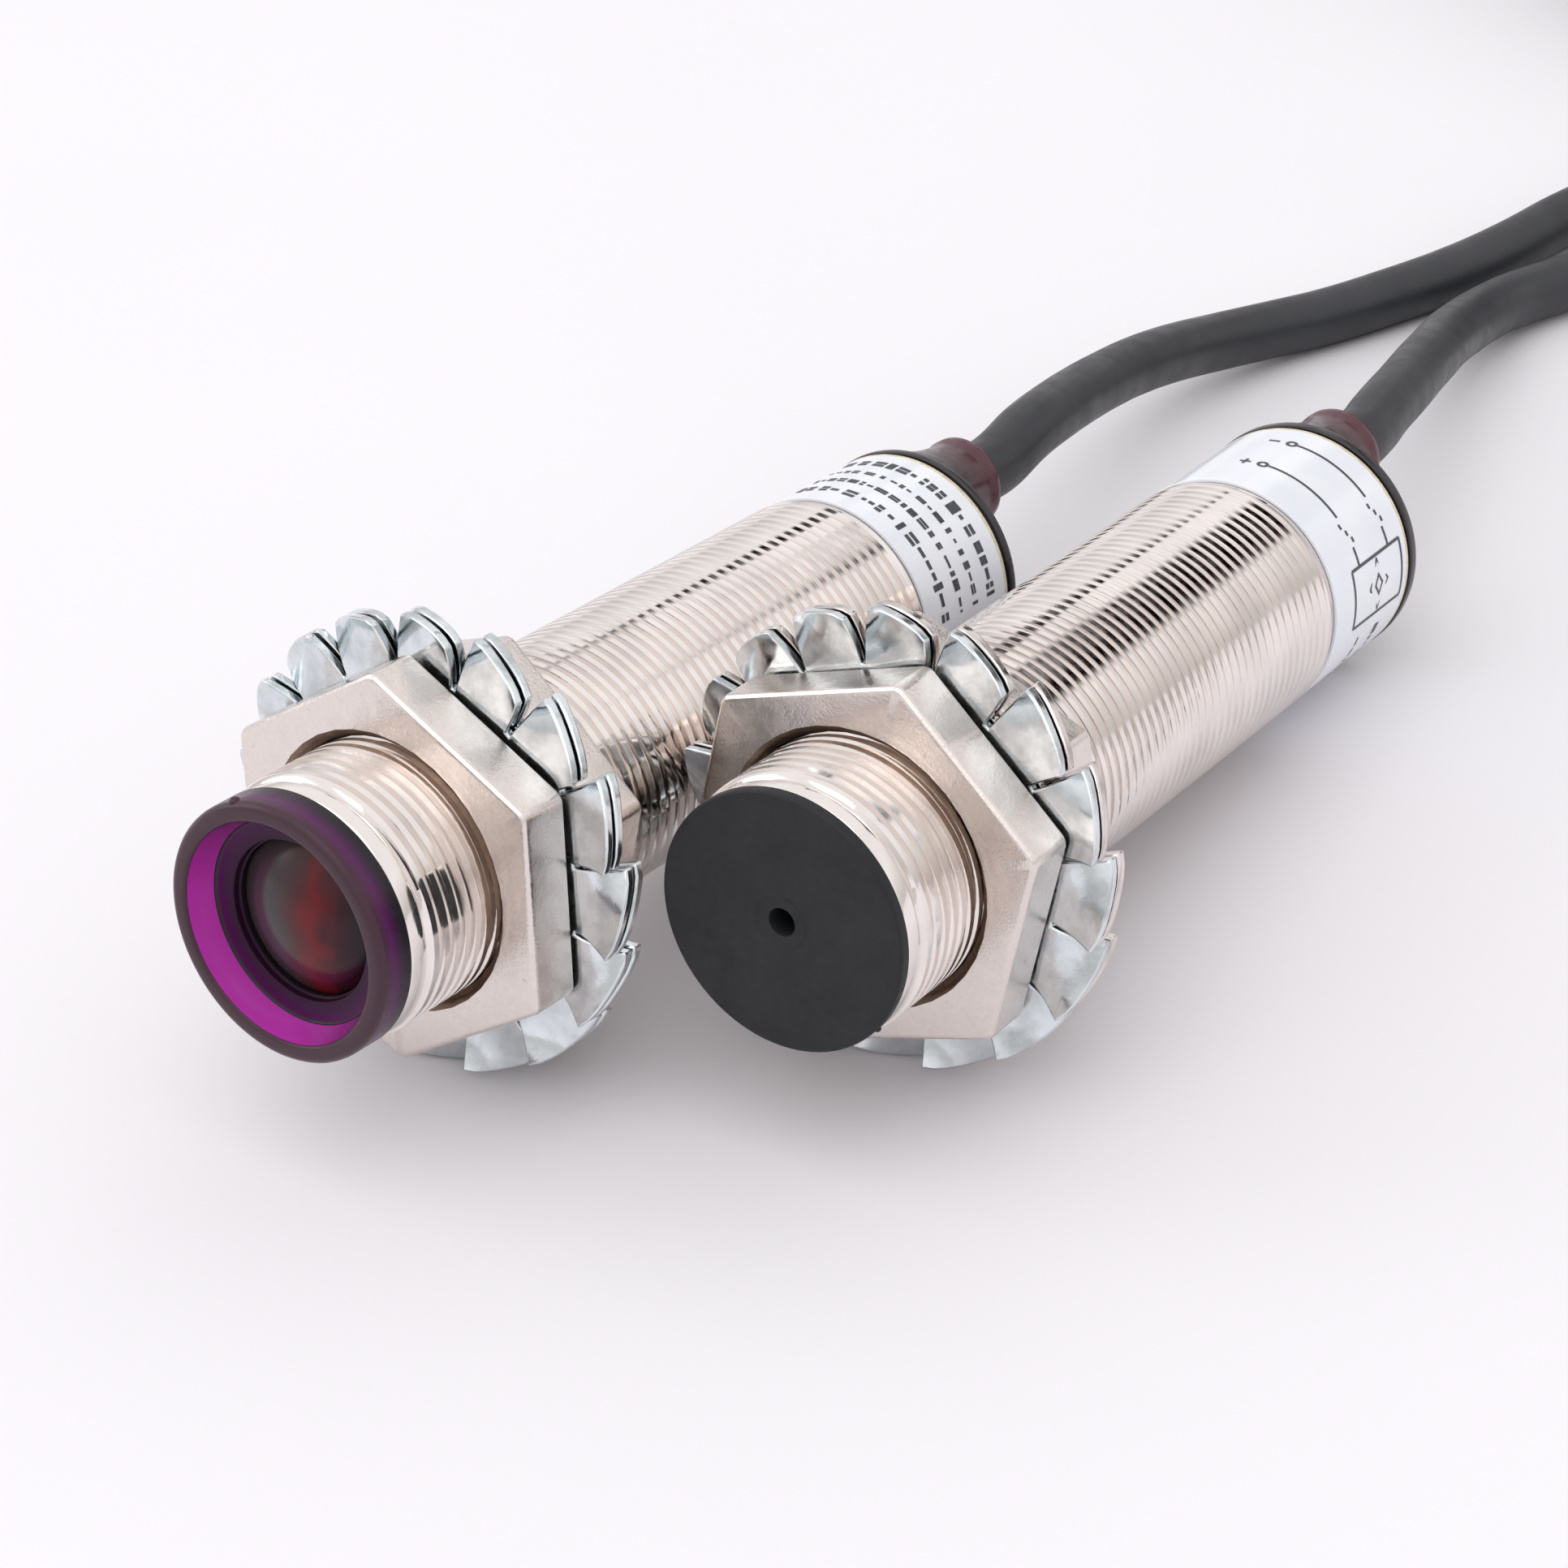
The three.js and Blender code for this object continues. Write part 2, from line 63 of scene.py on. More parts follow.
def make_camera():
    data = bpy.data.cameras.new("camera")
    data.lens = LENS_MM
    data.sensor_width = SENSOR_MM
    data.clip_start = 0.01
    data.clip_end = 20
    camera = bpy.data.objects.new("camera", data)
    bpy.context.scene.collection.objects.link(camera)
    level = math.cos(CAMERA_ELEVATION)
    back = Vector((
        math.sin(CAMERA_AZIMUTH) * level,
        -math.cos(CAMERA_AZIMUTH) * level,
        math.sin(CAMERA_ELEVATION),
    ))
    right = Vector((math.cos(CAMERA_AZIMUTH), math.sin(CAMERA_AZIMUTH), 0))
    upright = Matrix((right, back.cross(right), back)).transposed()
    turned = upright @ Matrix.Rotation(CAMERA_ROLL, 3, "Z")
    camera.matrix_world = (
        Matrix.Translation(CAMERA_TARGET_M + back * CAMERA_DISTANCE_M) @ turned.to_4x4()
    )
    bpy.context.scene.camera = camera


make_camera()

# ---- the two units -----------------------------------------------------------------------------


class Place:
    """A frame in which a mesh is built in millimetres."""

    def __init__(self, matrix):
        self.matrix = matrix


class Unit:
    """One barrel: its frame and the places along its axis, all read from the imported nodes."""

    def __init__(self, name, front_piece):
        self.name = name
        joints = {joint["name"]: joint for joint in frame["joints"]}
        turn = joints[f"{name}_front_nut_turn"]
        axis = Vector(turn["axis"]).normalized()
        right = axis.cross(Vector((0, 0, 1))).normalized()
        self.matrix = Matrix((right, axis, right.cross(axis))).transposed().to_4x4()
        self.matrix.translation = Vector(turn["pos_m"])
        front = self.span(front_piece)[0]
        self.matrix.translation += axis * front * MM

    def points(self, node):
        to_unit = self.matrix.inverted()
        mesh = frame["nodes"][f"{self.name}_{node}"].data
        return [to_unit @ vertex.co / MM for vertex in mesh.vertices]

    def span(self, node):
        along = [point.y for point in self.points(node)]
        return min(along), max(along)

    def radius(self, node):
        return max(math.hypot(point.x, point.z) for point in self.points(node))

    def bore(self, node):
        return min(math.hypot(point.x, point.z) for point in self.points(node))

    def centre(self, node):
        points = self.points(node)
        low = [min(point[i] for point in points) for i in range(3)]
        high = [max(point[i] for point in points) for i in range(3)]
        return Vector((low[i] + high[i]) / 2 for i in range(3))

    def radius_about(self, node, centre):
        return max(math.hypot(p.x - centre.x, p.z - centre.z) for p in self.points(node))

    def place_m(self, x, y, z):
        return self.matrix @ (Vector((x, y, z)) * MM)


EMITTER = Unit("emitter", "front_cap")
RECEIVER = Unit("receiver", "lens_cup")
UNITS = (EMITTER, RECEIVER)

# ---- cable routes ------------------------------------------------------------------------------

CABLE_D_M = 0.0048
EXIT_STRAIGHT = 4
EXIT_CLEARANCE = 0.3
COIL_OUTER_COLUMN_M = 0.0264
COIL_INNER_COLUMN_M = 0.0216
COIL_BORE_M = 0.0192
COIL_END_M = 0.0190
COIL_LAYERS = 5
COIL_STEPS = 20
FLOOR_REST_M = 0.00245

CABLES = {
    "emitter": {
        "route": [
            (.0113, .0556, .0114), (.0105, .0606, .0107), (.0093, .0659, .0096),
            (.0080, .0713, .0082), (.0066, .0767, .0067), (.0056, .0821, .0052),
            (.0049, .0873, .0038), (.0052, .0923, .0029), (.0071, .0973, .0025),
            (.0100, .1028, .00245), (.0136, .1094, .00245), (.0172, .1170, .00245),
            (.0206, .1254, .00245), (.0238, .1342, .00245), (.0266, .1434, .00245),
            (.0288, .1530, .00245), (.0304, .1632, .00245), (.0312, .1740, .00245),
            (.0314, .1860, .00245), (.0314, .1980, .00245), (.0314, .2100, .00245),
            (.0314, .2220, .00245), (.0314, .2330, .00245), (.0314, .2436, .00245),
        ],
        "coil": (.0050, .2436),
        "turns": 8.43,
        "tie": 280,
        "leads": ("brown", "blue"),
    },
    "receiver": {
        "route": [
            (-.0108, .0396, .0120), (-.0115, .0451, .0111), (-.0123, .0501, .0099),
            (-.0130, .0556, .0085), (-.0134, .0614, .0070), (-.0133, .0673, .0054),
            (-.0124, .0731, .0039), (-.0105, .0786, .0029), (-.0077, .0838, .00245),
            (-.0046, .0895, .00245), (-.0018, .0955, .00245), (.0004, .1021, .00245),
            (.0021, .1091, .00245), (.0046, .1164, .00245), (.0082, .1246, .00245),
            (.0124, .1332, .00245), (.0167, .1420, .00245), (.0206, .1514, .00245),
            (.0237, .1612, .00245), (.0256, .1710, .00245), (.0262, .1784, .00245),
            (.0262, .1850, .00245),
        ],
        "coil": (-.0002, .1850),
        "turns": 8.73,
        "tie": 60,
        "leads": ("brown", "blue", "black"),
    },
}


def eased(value, start, end):
    """0 before start, 1 after end and a smooth rise between them."""
    share = min(1, max(0, (value - start) / (end - start)))
    return share * share * (3 - 2 * share)


def coil_place(turns, total):
    """Radius and height in the coil after so many turns: up the outer column, down the inner one.
    The inner turns step down first, then the top turn moves inward, then the outer turns rise.
    The last inner turn slopes to the floor and its end leaves the column inward."""
    whole = int(turns)
    part = turns - whole
    top = COIL_LAYERS - 1
    column = COIL_INNER_COLUMN_M - COIL_OUTER_COLUMN_M
    if whole < top:
        return COIL_OUTER_COLUMN_M, whole + eased(part, 0.72, 0.86)
    if whole == top:
        return COIL_OUTER_COLUMN_M + column * eased(part, 0.58, 0.72), top
    layer = 2 * top + 1 - whole
    if layer > 1:
        return COIL_INNER_COLUMN_M, layer - eased(part, 0.42, 0.56)
    inward = (COIL_END_M - COIL_INNER_COLUMN_M) * eased(turns, total - 0.3, total)
    return COIL_INNER_COLUMN_M + inward, layer - eased(part, 0.0, 0.36)


def coil_points(facts):
    """The coil's turns, counterclockwise from its right-hand side to the end of the jacket."""
    total = facts["turns"]
    centre_x, centre_y = facts["coil"]
    steps = math.ceil(total * COIL_STEPS)
    points = []
    for step in range(1, steps + 1):
        turns = total * step / steps
        radius, layer = coil_place(turns, total)
        points.append((
            centre_x + radius * math.cos(TAU * turns),
            centre_y + radius * math.sin(TAU * turns),
            FLOOR_REST_M + CABLE_D_M * layer,
        ))
    return points


def exit_points(unit):
    """The start of the cable, straight out of the strain relief."""
    centre = unit.centre("strain_relief")
    start = unit.span("strain_relief")[1] + EXIT_CLEARANCE
    return [unit.place_m(centre.x, s, centre.z) for s in (start, start + EXIT_STRAIGHT)]


def link(obj):
    bpy.context.scene.collection.objects.link(obj)
    return obj


def curve_piece(name, points, radius, material, fine=6):
    """A round tube on one smooth open curve through the points, in metres in the row frame."""
    data = bpy.data.curves.new(name, "CURVE")
    data.dimensions = "3D"
    data.bevel_depth = radius
    data.bevel_resolution = fine
    data.resolution_u = fine
    data.use_fill_caps = True
    spline = data.splines.new("BEZIER")
    spline.bezier_points.add(len(points) - 1)
    for bezier, point in zip(spline.bezier_points, points):
        bezier.co = point
        bezier.handle_left_type = "AUTO"
        bezier.handle_right_type = "AUTO"
    data.materials.append(material)
    return link(bpy.data.objects.new(name, data))


# ---- material helpers --------------------------------------------------------------------------


class Look:
    """A node material around one Principled shader, with short calls for common node chains."""

    def __init__(self, name, colour, roughness, metallic=0.0, **sockets):
        self.material = bpy.data.materials.new(name)
        self.material.use_nodes = True
        self.tree = self.material.node_tree
        self.shader = self.tree.nodes["Principled BSDF"]
        self.set("Base Color", (*colour, 1))
        self.set("Roughness", roughness)
        self.set("Metallic", metallic)
        for socket, value in sockets.items():
            self.set(socket.replace("_", " "), value)
        self.heights = None

    def set(self, socket, value):
        self.shader.inputs[socket].default_value = value

    def node(self, kind, **inputs):
        node = self.tree.nodes.new(kind)
        for socket, value in inputs.items():
            self.feed(node.inputs[socket.replace("_", " ")], value)
        return node

    def feed(self, socket, value):
        if isinstance(value, bpy.types.NodeSocket):
            self.tree.links.new(value, socket)
        else:
            socket.default_value = value

    def coordinates(self, stretch=(1, 1, 1)):
        """Object coordinates in millimetres, scaled along each axis."""
        source = self.node("ShaderNodeTexCoord").outputs["Object"]
        mapping = self.node("ShaderNodeMapping", Vector=source)
        mapping.inputs["Scale"].default_value = [1 / MM * s for s in stretch]
        return mapping.outputs["Vector"]

    def noise(self, cells, detail=2.0, stretch=(1, 1, 1), rough=0.5):
        """Noise from 0 to 1 with so many cells a millimetre."""
        node = self.node(
            "ShaderNodeTexNoise", Vector=self.coordinates(stretch), Scale=cells,
            Detail=detail, Roughness=rough,
        )
        return node.outputs["Fac"]

    def math(self, operation, first, second=0.5):
        node = self.tree.nodes.new("ShaderNodeMath")
        node.operation = operation
        self.feed(node.inputs[0], first)
        self.feed(node.inputs[1], second)
        return node.outputs[0]

    def part(self, axis, stretch=(1, 1, 1)):
        separate = self.node("ShaderNodeSeparateXYZ", Vector=self.coordinates(stretch))
        return separate.outputs[axis]

    def off_axis(self):
        """Distance from the unit's axis, in millimetres."""
        vector = self.coordinates((1, 0, 1))
        node = self.tree.nodes.new("ShaderNodeVectorMath")
        node.operation = "LENGTH"
        self.feed(node.inputs[0], vector)
        return node.outputs["Value"]

    def scaled(self, value, low, high, to_low=0.0, to_high=1.0):
        node = self.tree.nodes.new("ShaderNodeMapRange")
        inputs = (value, low, high, to_low, to_high)
        names = ("Value", "From Min", "From Max", "To Min", "To Max")
        for name, given in zip(names, inputs):
            self.feed(node.inputs[name], given)
        return node.outputs["Result"]

    def ramp(self, share, stops):
        node = self.tree.nodes.new("ShaderNodeValToRGB")
        self.feed(node.inputs["Fac"], share)
        elements = node.color_ramp.elements
        while len(elements) < len(stops):
            elements.new(0.5)
        for element, (position, colour) in zip(elements, stops):
            element.position = position
            element.color = (*colour, 1)
        return node.outputs["Color"]

    def colour(self, share, stops):
        self.feed(self.shader.inputs["Base Color"], self.ramp(share, stops))
        return self

    def roughness(self, share, low, high):
        self.feed(self.shader.inputs["Roughness"], self.scaled(share, 0.3, 0.7, low, high))
        return self

    def bump(self, height, depth_mm, strength=1.0):
        node = self.node("ShaderNodeBump", Height=height, Strength=strength)
        node.inputs["Distance"].default_value = depth_mm * MM
        if self.heights is not None:
            self.feed(node.inputs["Normal"], self.heights)
        self.heights = node.outputs["Normal"]
        self.feed(self.shader.inputs["Normal"], self.heights)
        return self


def tinted(colour, factor):
    return tuple(min(1, c * factor) for c in colour)


# ---- materials ---------------------------------------------------------------------------------


def thread_nickel():
    """Bright nickel over machined brass, with faint turning lines and a light haze."""
    base = (0.84, 0.785, 0.75)
    look = Look("thread_nickel", base, 0.10, 1.0)
    haze = look.noise(0.25, 3)
    look.colour(haze, [(0.3, tinted(base, 0.93)), (0.7, tinted(base, 1.06))])
    look.roughness(look.noise(1.2, 4), 0.05, 0.15)
    look.bump(look.noise(3.0, 3, (0.25, 4, 0.25)), 0.005, 0.4)
    return look.material


def cast_nickel():
    """Satin nickel over a grainy casting, brownish in its pores."""
    base = (0.74, 0.675, 0.635)
    look = Look("cast_nickel", base, 0.26, 1.0)
    pores = look.noise(2.6, 4, rough=0.65)
    look.colour(pores, [(0.22, (0.42, 0.34, 0.29)), (0.34, base), (0.75, tinted(base, 1.08))])
    look.roughness(look.noise(0.8, 3), 0.18, 0.32)
    look.bump(look.noise(5.5, 3), 0.035, 0.5)
    look.bump(look.noise(0.5, 2), 0.10, 0.4)
    return look.material


def zinc_plate(name, base):
    """Bright plate on stamped spring steel, with drawn streaks and small dull patches."""
    look = Look(name, base, 0.2, 1.0)
    patches = look.noise(0.45, 4, rough=0.6)
    look.colour(patches, [(0.3, tinted(base, 0.74)), (0.55, base), (0.8, tinted(base, 1.08))])
    look.roughness(patches, 0.24, 0.10)
    look.bump(look.noise(0.35, 2), 0.14, 0.5)
    look.bump(look.noise(6.0, 2), 0.01, 0.4)
    return look.material


def moulded_black():
    """Matte black with the fine spark texture of a moulding tool."""
    look = Look("moulded_black", (0.014, 0.015, 0.017), 0.52, 0.0, Specular_IOR_Level=0.3)
    look.colour(look.noise(0.3, 3), [(0.3, (0.012, 0.013, 0.015)), (0.7, (0.018, 0.019, 0.022))])
    look.roughness(look.noise(1.5, 3), 0.48, 0.60)
    look.bump(look.noise(11.0, 2), 0.012, 0.5)
    return look.material


def cup_purple():
    """Translucent purple with painted light and shade: plum at the rim, a brighter painted purple where light
    comes through the open wall, and painted shade over the plug.
    """
    look = Look("cup_purple", (0.05, 0.015, 0.045), 0.30, 0.0, Specular_IOR_Level=0.3)
    wavy = look.math("ADD", look.part("Y"), look.math("MULTIPLY", look.noise(0.35, 2), 0.5))
    stops = [
        (0.10, (0.050, 0.022, 0.032)),
        (0.28, (0.060, 0.018, 0.040)),
        (0.45, (0.085, 0.010, 0.080)),
        (0.62, (0.045, 0.008, 0.045)),
        (0.80, (0.012, 0.009, 0.012)),
    ]
    look.colour(look.scaled(wavy, 0, 3.2), stops)
    look.roughness(look.noise(1.0, 3), 0.26, 0.38)
    look.bump(look.noise(0.8, 3), 0.02, 0.4)
    return look.material


def cup_bore():
    """The cup's inner wall, which glows magenta because light comes through it."""
    look = Look("cup_bore", (0.26, 0.02, 0.20), 0.12, 0.0, Emission_Strength=0.2)
    # Colour and glow both fade across the bore: painted light on the low x+z side, painted shade on the far
    # side.
    around = look.math("ADD", look.part("X"), look.part("Z"))
    share = look.scaled(around, -9, 9)
    look.colour(share, [(0.1, (0.32, 0.03, 0.26)), (0.6, (0.15, 0.01, 0.11)), (1, (0.06, 0.004, 0.05))])
    glow = look.ramp(share, [(0.1, (0.55, 0.03, 0.45)), (0.5, (0.22, 0.01, 0.17)), (0.8, (0, 0, 0))])
    look.feed(look.shader.inputs["Emission Color"], glow)
    look.bump(look.noise(0.6, 2), 0.01, 0.3)
    return look.material


def cup_floor():
    """The stepped seat at the foot of the cup, dark with painted shade towards the axis and lifted by painted
    light from the glowing wall towards its rim.
    """
    look = Look("cup_floor", (0.03, 0.006, 0.03), 0.3, 0.0, Specular_IOR_Level=0.15)
    # Darkest near the axis, brightest near the bore wall: painted shade and painted light.
    rings = look.scaled(look.off_axis(), 5.2, 7.8)
    look.colour(rings, [(0.1, (0.02, 0.004, 0.018)), (0.5, (0.055, 0.006, 0.055)), (0.9, (0.12, 0.01, 0.11))])
    look.bump(look.noise(1.2, 2), 0.01, 0.3)
    return look.material


def lens_red():
    """A dark red filter lens, with a grey painted reflection on one side and a painted red glow where light
    reaches the detector's window behind it.
    """
    look = Look("lens_red", (0.03, 0.006, 0.008), 0.22, 0.0, Specular_IOR_Level=0.3)
    wavy = look.math("ADD", look.part("X"), look.math("MULTIPLY", look.noise(0.45, 2), 3.0))
    band = look.scaled(wavy, -1.5, 6.5)
    # Across x: a grey painted reflection of the white tent on the low-x side, the painted red glow, then the
    # lens's own dark red.
    stops = [
        (0.25, (0.042, 0.030, 0.033)),
        (0.45, (0.07, 0.014, 0.017)),
        (0.58, (0.13, 0.006, 0.010)),
        (0.75, (0.04, 0.004, 0.010)),
        (0.95, (0.014, 0.004, 0.010)),
    ]
    look.colour(band, stops)
    look.roughness(look.noise(0.7, 3), 0.18, 0.28)
    look.bump(look.noise(0.25, 1), 0.02, 0.2)
    return look.material


def label_film():
    """Glossy white film with a faint cool tint."""
    look = Look("label_film", (0.80, 0.83, 0.88), 0.24, 0.0, Coat_Weight=0.3)
    look.colour(look.noise(0.2, 2), [(0.3, (0.77, 0.80, 0.86)), (0.7, (0.84, 0.86, 0.90))])
    look.bump(look.noise(0.9, 2), 0.01, 0.25)
    return look.material


def label_edge():
    """The film's cut edge, yellowed by its glue."""
    look = Look("label_edge", (0.66, 0.58, 0.42), 0.5)
    look.colour(look.noise(1.5, 2), [(0.3, (0.55, 0.46, 0.32)), (0.7, (0.75, 0.68, 0.52))])
    return look.material


def label_ink():
    """Grey-black print, slightly broken at its edges."""
    look = Look("label_ink", (0.03, 0.033, 0.04), 0.38)
    look.colour(look.noise(7, 3), [(0.3, (0.02, 0.022, 0.028)), (0.75, (0.085, 0.09, 0.10))])
    return look.material


def maroon_plastic():
    """Dark red translucent plastic, almost black where it is thick, turning red towards the rear with painted
    light coming through the thinner plastic there.
    """
    look = Look("maroon_plastic", (0.03, 0.006, 0.012), 0.28, 0.0, Coat_Weight=0.2)
    # Redder towards the rear end: painted light through the thin sleeve.
    rearward_glow = look.scaled(look.part("Y"), 70, 78)
    stops = [(0.0, (0.010, 0.007, 0.009)), (0.35, (0.030, 0.008, 0.014)), (0.9, (0.085, 0.014, 0.024))]
    look.colour(rearward_glow, stops)
    look.roughness(look.noise(1.2, 3), 0.24, 0.40)
    look.bump(look.noise(2.5, 3), 0.02, 0.35)
    return look.material


def cable_pvc():
    """Charcoal PVC with a soft sheen and faint drawing lines."""
    look = Look("cable_pvc", (0.022, 0.024, 0.028), 0.42, 0.0, Specular_IOR_Level=0.5)
    look.colour(look.noise(0.12, 3), [(0.3, (0.019, 0.021, 0.025)), (0.7, (0.029, 0.031, 0.036))])
    look.roughness(look.noise(0.5, 3), 0.36, 0.50)
    look.bump(look.noise(4.0, 3), 0.01, 0.4)
    return look.material


def board_green():
    """Solder mask over copper tracks, with tinned pads showing as small bright cells."""
    look = Look("board_green", (0.02, 0.16, 0.07), 0.35)
    tracks = look.node("ShaderNodeTexBrick", Vector=look.coordinates(), Scale=0.5)
    tracks.inputs["Color1"].default_value = (0.018, 0.15, 0.06, 1)
    tracks.inputs["Color2"].default_value = (0.025, 0.19, 0.08, 1)
    tracks.inputs["Mortar"].default_value = (0.06, 0.28, 0.12, 1)
    tracks.inputs["Mortar Size"].default_value = 0.03
    look.feed(look.shader.inputs["Base Color"], tracks.outputs["Color"])
    look.bump(tracks.outputs["Fac"], 0.03, 0.5)
    return look.material


def speckled(name, colour, roughness, metallic=0.0, cells=4.0, depth=0.02, spread=0.15):
    """A plain moulded or machined finish: slight colour variation and a fine bump."""
    look = Look(name, colour, roughness, metallic)
    variation = look.noise(cells * 0.3, 3)
    look.colour(variation, [(0.3, tinted(colour, 1 - spread)), (0.7, tinted(colour, 1 + spread))])
    look.roughness(look.noise(cells * 0.5, 3), roughness * 0.85, min(1, roughness * 1.2))
    look.bump(look.noise(cells, 3), depth, 0.4)
    return look.material


def floor_white():
    look = Look("floor_white", (0.82, 0.805, 0.83), 0.75, 0.0, Specular_IOR_Level=0.2)
    look.colour(look.noise(0.02, 3), [(0.3, (0.815, 0.80, 0.825)), (0.7, (0.825, 0.81, 0.835))])
    return look.material


THREAD_NICKEL = thread_nickel()
CAST_NICKEL = cast_nickel()
ZINC = zinc_plate("zinc_plate", (0.70, 0.745, 0.765))
WARM_ZINC = zinc_plate("warm_nickel_plate", (0.72, 0.665, 0.64))
MOULDED_BLACK = moulded_black()
CUP_PURPLE = cup_purple()
CUP_BORE = cup_bore()
CUP_FLOOR = cup_floor()
LENS_RED = lens_red()
LABEL_FILM = label_film()
LABEL_EDGE = label_edge()
LABEL_INK = label_ink()
MAROON = maroon_plastic()
CABLE_PVC = cable_pvc()
BOARD = board_green()
# The nut's nickel painted dark brown in its countersunk mouth: painted shade in the recess round the thread.
NUT_MOUTH_SHADE = speckled("nut_mouth", (0.34, 0.26, 0.21), 0.34, 1.0, cells=3)
EPOXY = speckled("chip_epoxy", (0.022, 0.022, 0.025), 0.5, cells=8)
RUBBER = speckled("seal_rubber", (0.015, 0.015, 0.016), 0.7, cells=5)
BRASS = speckled("turned_brass", (0.70, 0.50, 0.22), 0.25, 1.0, spread=0.08)
STEEL = speckled("plain_steel", (0.58, 0.58, 0.60), 0.28, 1.0, spread=0.08)
CAN = speckled("aluminium_can", (0.72, 0.73, 0.75), 0.3, 1.0, spread=0.05)
CLEAR_LENS = speckled("clear_lens", (0.80, 0.85, 0.88), 0.05, spread=0.03, depth=0.004)
RED_LED = speckled("red_led", (0.65, 0.05, 0.04), 0.2, spread=0.1)
NYLON = speckled("nylon", (0.72, 0.71, 0.66), 0.42, cells=3, spread=0.04)
TINNED = speckled("tinned_copper", (0.75, 0.74, 0.72), 0.3, 1.0, cells=6, spread=0.1)
LEAD_FINISH = {
    "brown": speckled("lead_brown_pvc", (0.15, 0.06, 0.025), 0.42, spread=0.1),
    "blue": speckled("lead_blue_pvc", (0.02, 0.09, 0.36), 0.42, spread=0.1),
    "black": speckled("lead_black_pvc", (0.015, 0.015, 0.017), 0.42, spread=0.1),
}

# ---- cables ------------------------------------------------------------------------------------

LEAD_R = 0.65


def cable(unit):
    facts = CABLES[unit.name]
    start = exit_points(unit)
    points = [*start, *facts["route"], *coil_points(facts)]
    piece = curve_piece(f"{unit.name}_cable_run", points, CABLE_D_M / 2, CABLE_PVC)
    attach(piece, unit.name)
    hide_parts(f"{unit.name}_cable", f"{unit.name}_cable_coil")
    return piece, start[0]


def lead(unit, index, colour, facts):
    """One core, from the jacket's end, fanning inward over the floor to its stripped tip."""
    centre_x, centre_y = facts["coil"]
    points = []
    last_step = 6
    for step in range(last_step + 1):
        along = step / last_step
        gather = eased(along, 0.0, 0.3)
        angle = TAU * facts["turns"] + along * (1.0 + 0.1 * index)
        fanned = COIL_BORE_M / MM - 2 * (0.6 + index) - (2 + index) * along
        bundled = COIL_END_M / MM + (1 - index) * 1.35
        radius = (bundled + (fanned - bundled) * gather) * MM
        height = (2.2 + (LEAD_R + 0.05 - 2.2) * gather) * MM
        points.append((
            centre_x + radius * math.cos(angle),
            centre_y + radius * math.sin(angle),
            height,
        ))
    name = f"{unit.name}_lead_{colour}"
    sleeve = curve_piece(f"{name}_sleeve", points, LEAD_R * MM, LEAD_FINISH[colour], 4)
    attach(sleeve, unit.name)
    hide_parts(name)
    end = Vector(points[-1])
    direction = (end - Vector(points[-2])).normalized()
    reach = end - direction * 0.004
    tip_points = [reach, reach + direction * 0.004, end + direction * 0.003]
    tip = curve_piece(f"{name}_tip", tip_points, 0.42 * MM, TINNED, 3)
    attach(tip, unit.name)
    return [sleeve, tip]


# ---- mesh helpers ------------------------------------------------------------------------------


WELD_MM = 1e-4
BEVEL_DEGREES = 35


def finish_mesh(name, mesh_data, place, materials, sharp_degrees=32, bevel=0.0):
    """Turns millimetre bmesh data into a shaded object in a unit's or another place's frame."""
    bmesh.ops.remove_doubles(mesh_data, verts=mesh_data.verts, dist=WELD_MM)
    bmesh.ops.recalc_face_normals(mesh_data, faces=mesh_data.faces)
    bmesh.ops.scale(mesh_data, vec=(MM, MM, MM), verts=mesh_data.verts)
    mesh = bpy.data.meshes.new(name)
    mesh_data.to_mesh(mesh)
    mesh_data.free()
    for face in mesh.polygons:
        face.use_smooth = True
    mesh.set_sharp_from_angle(angle=math.radians(sharp_degrees))
    for material in materials:
        mesh.materials.append(material)
    obj = link(bpy.data.objects.new(name, mesh))
    obj.matrix_world = place.matrix
    if bevel:
        edge = obj.modifiers.new("edge", "BEVEL")
        edge.width = bevel * MM
        edge.segments = 2
        edge.limit_method = "ANGLE"
        edge.angle_limit = math.radians(BEVEL_DEGREES)
    obj.modifiers.new("flat_faces", "WEIGHTED_NORMAL").keep_sharp = True
    return obj


def assign(piece, body, slot, *nodes):
    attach(piece, body)
    if nodes:
        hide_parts(*nodes)
    return piece


FILLET_STEPS = 4


def filleted(corners, closed=True):
    """A profile of (radius, s, fillet) corners with each fillet drawn as an arc."""
    count = len(corners)
    profile = []
    for index, (r, s, fillet) in enumerate(corners):
        at_end = not closed and index in (0, count - 1)
        if at_end or not fillet:
            profile.append((r, s))
            continue
        here = Vector((r, s))
        before = (Vector(corners[index - 1][:2]) - here).normalized()
        after = (Vector(corners[(index + 1) % count][:2]) - here).normalized()
        half = before.angle(after) / 2
        reach = fillet / math.tan(half)
        centre = here + (before + after).normalized() * fillet / math.sin(half)
        first = here + before * reach - centre
        last = here + after * reach - centre
        sweep = first.angle_signed(last)
        for step in range(FILLET_STEPS + 1):
            spoke = first.copy()
            spoke.rotate(Matrix.Rotation(-sweep * step / FILLET_STEPS, 2))
            profile.append(tuple(centre + spoke))
    return profile


def ring_of(mesh_data, radius, s, sides, centre=(0, 0)):
    """One ring of vertices about the axis, or a single vertex where the radius is nothing."""
    if radius < 1e-6:
        return [mesh_data.verts.new((centre[0], s, centre[1]))]
    ring = []
    for side in range(sides):
        angle = TAU * side / sides
        x = centre[0] + radius * math.cos(angle)
        z = centre[1] + radius * math.sin(angle)
        ring.append(mesh_data.verts.new((x, s, z)))
    return ring


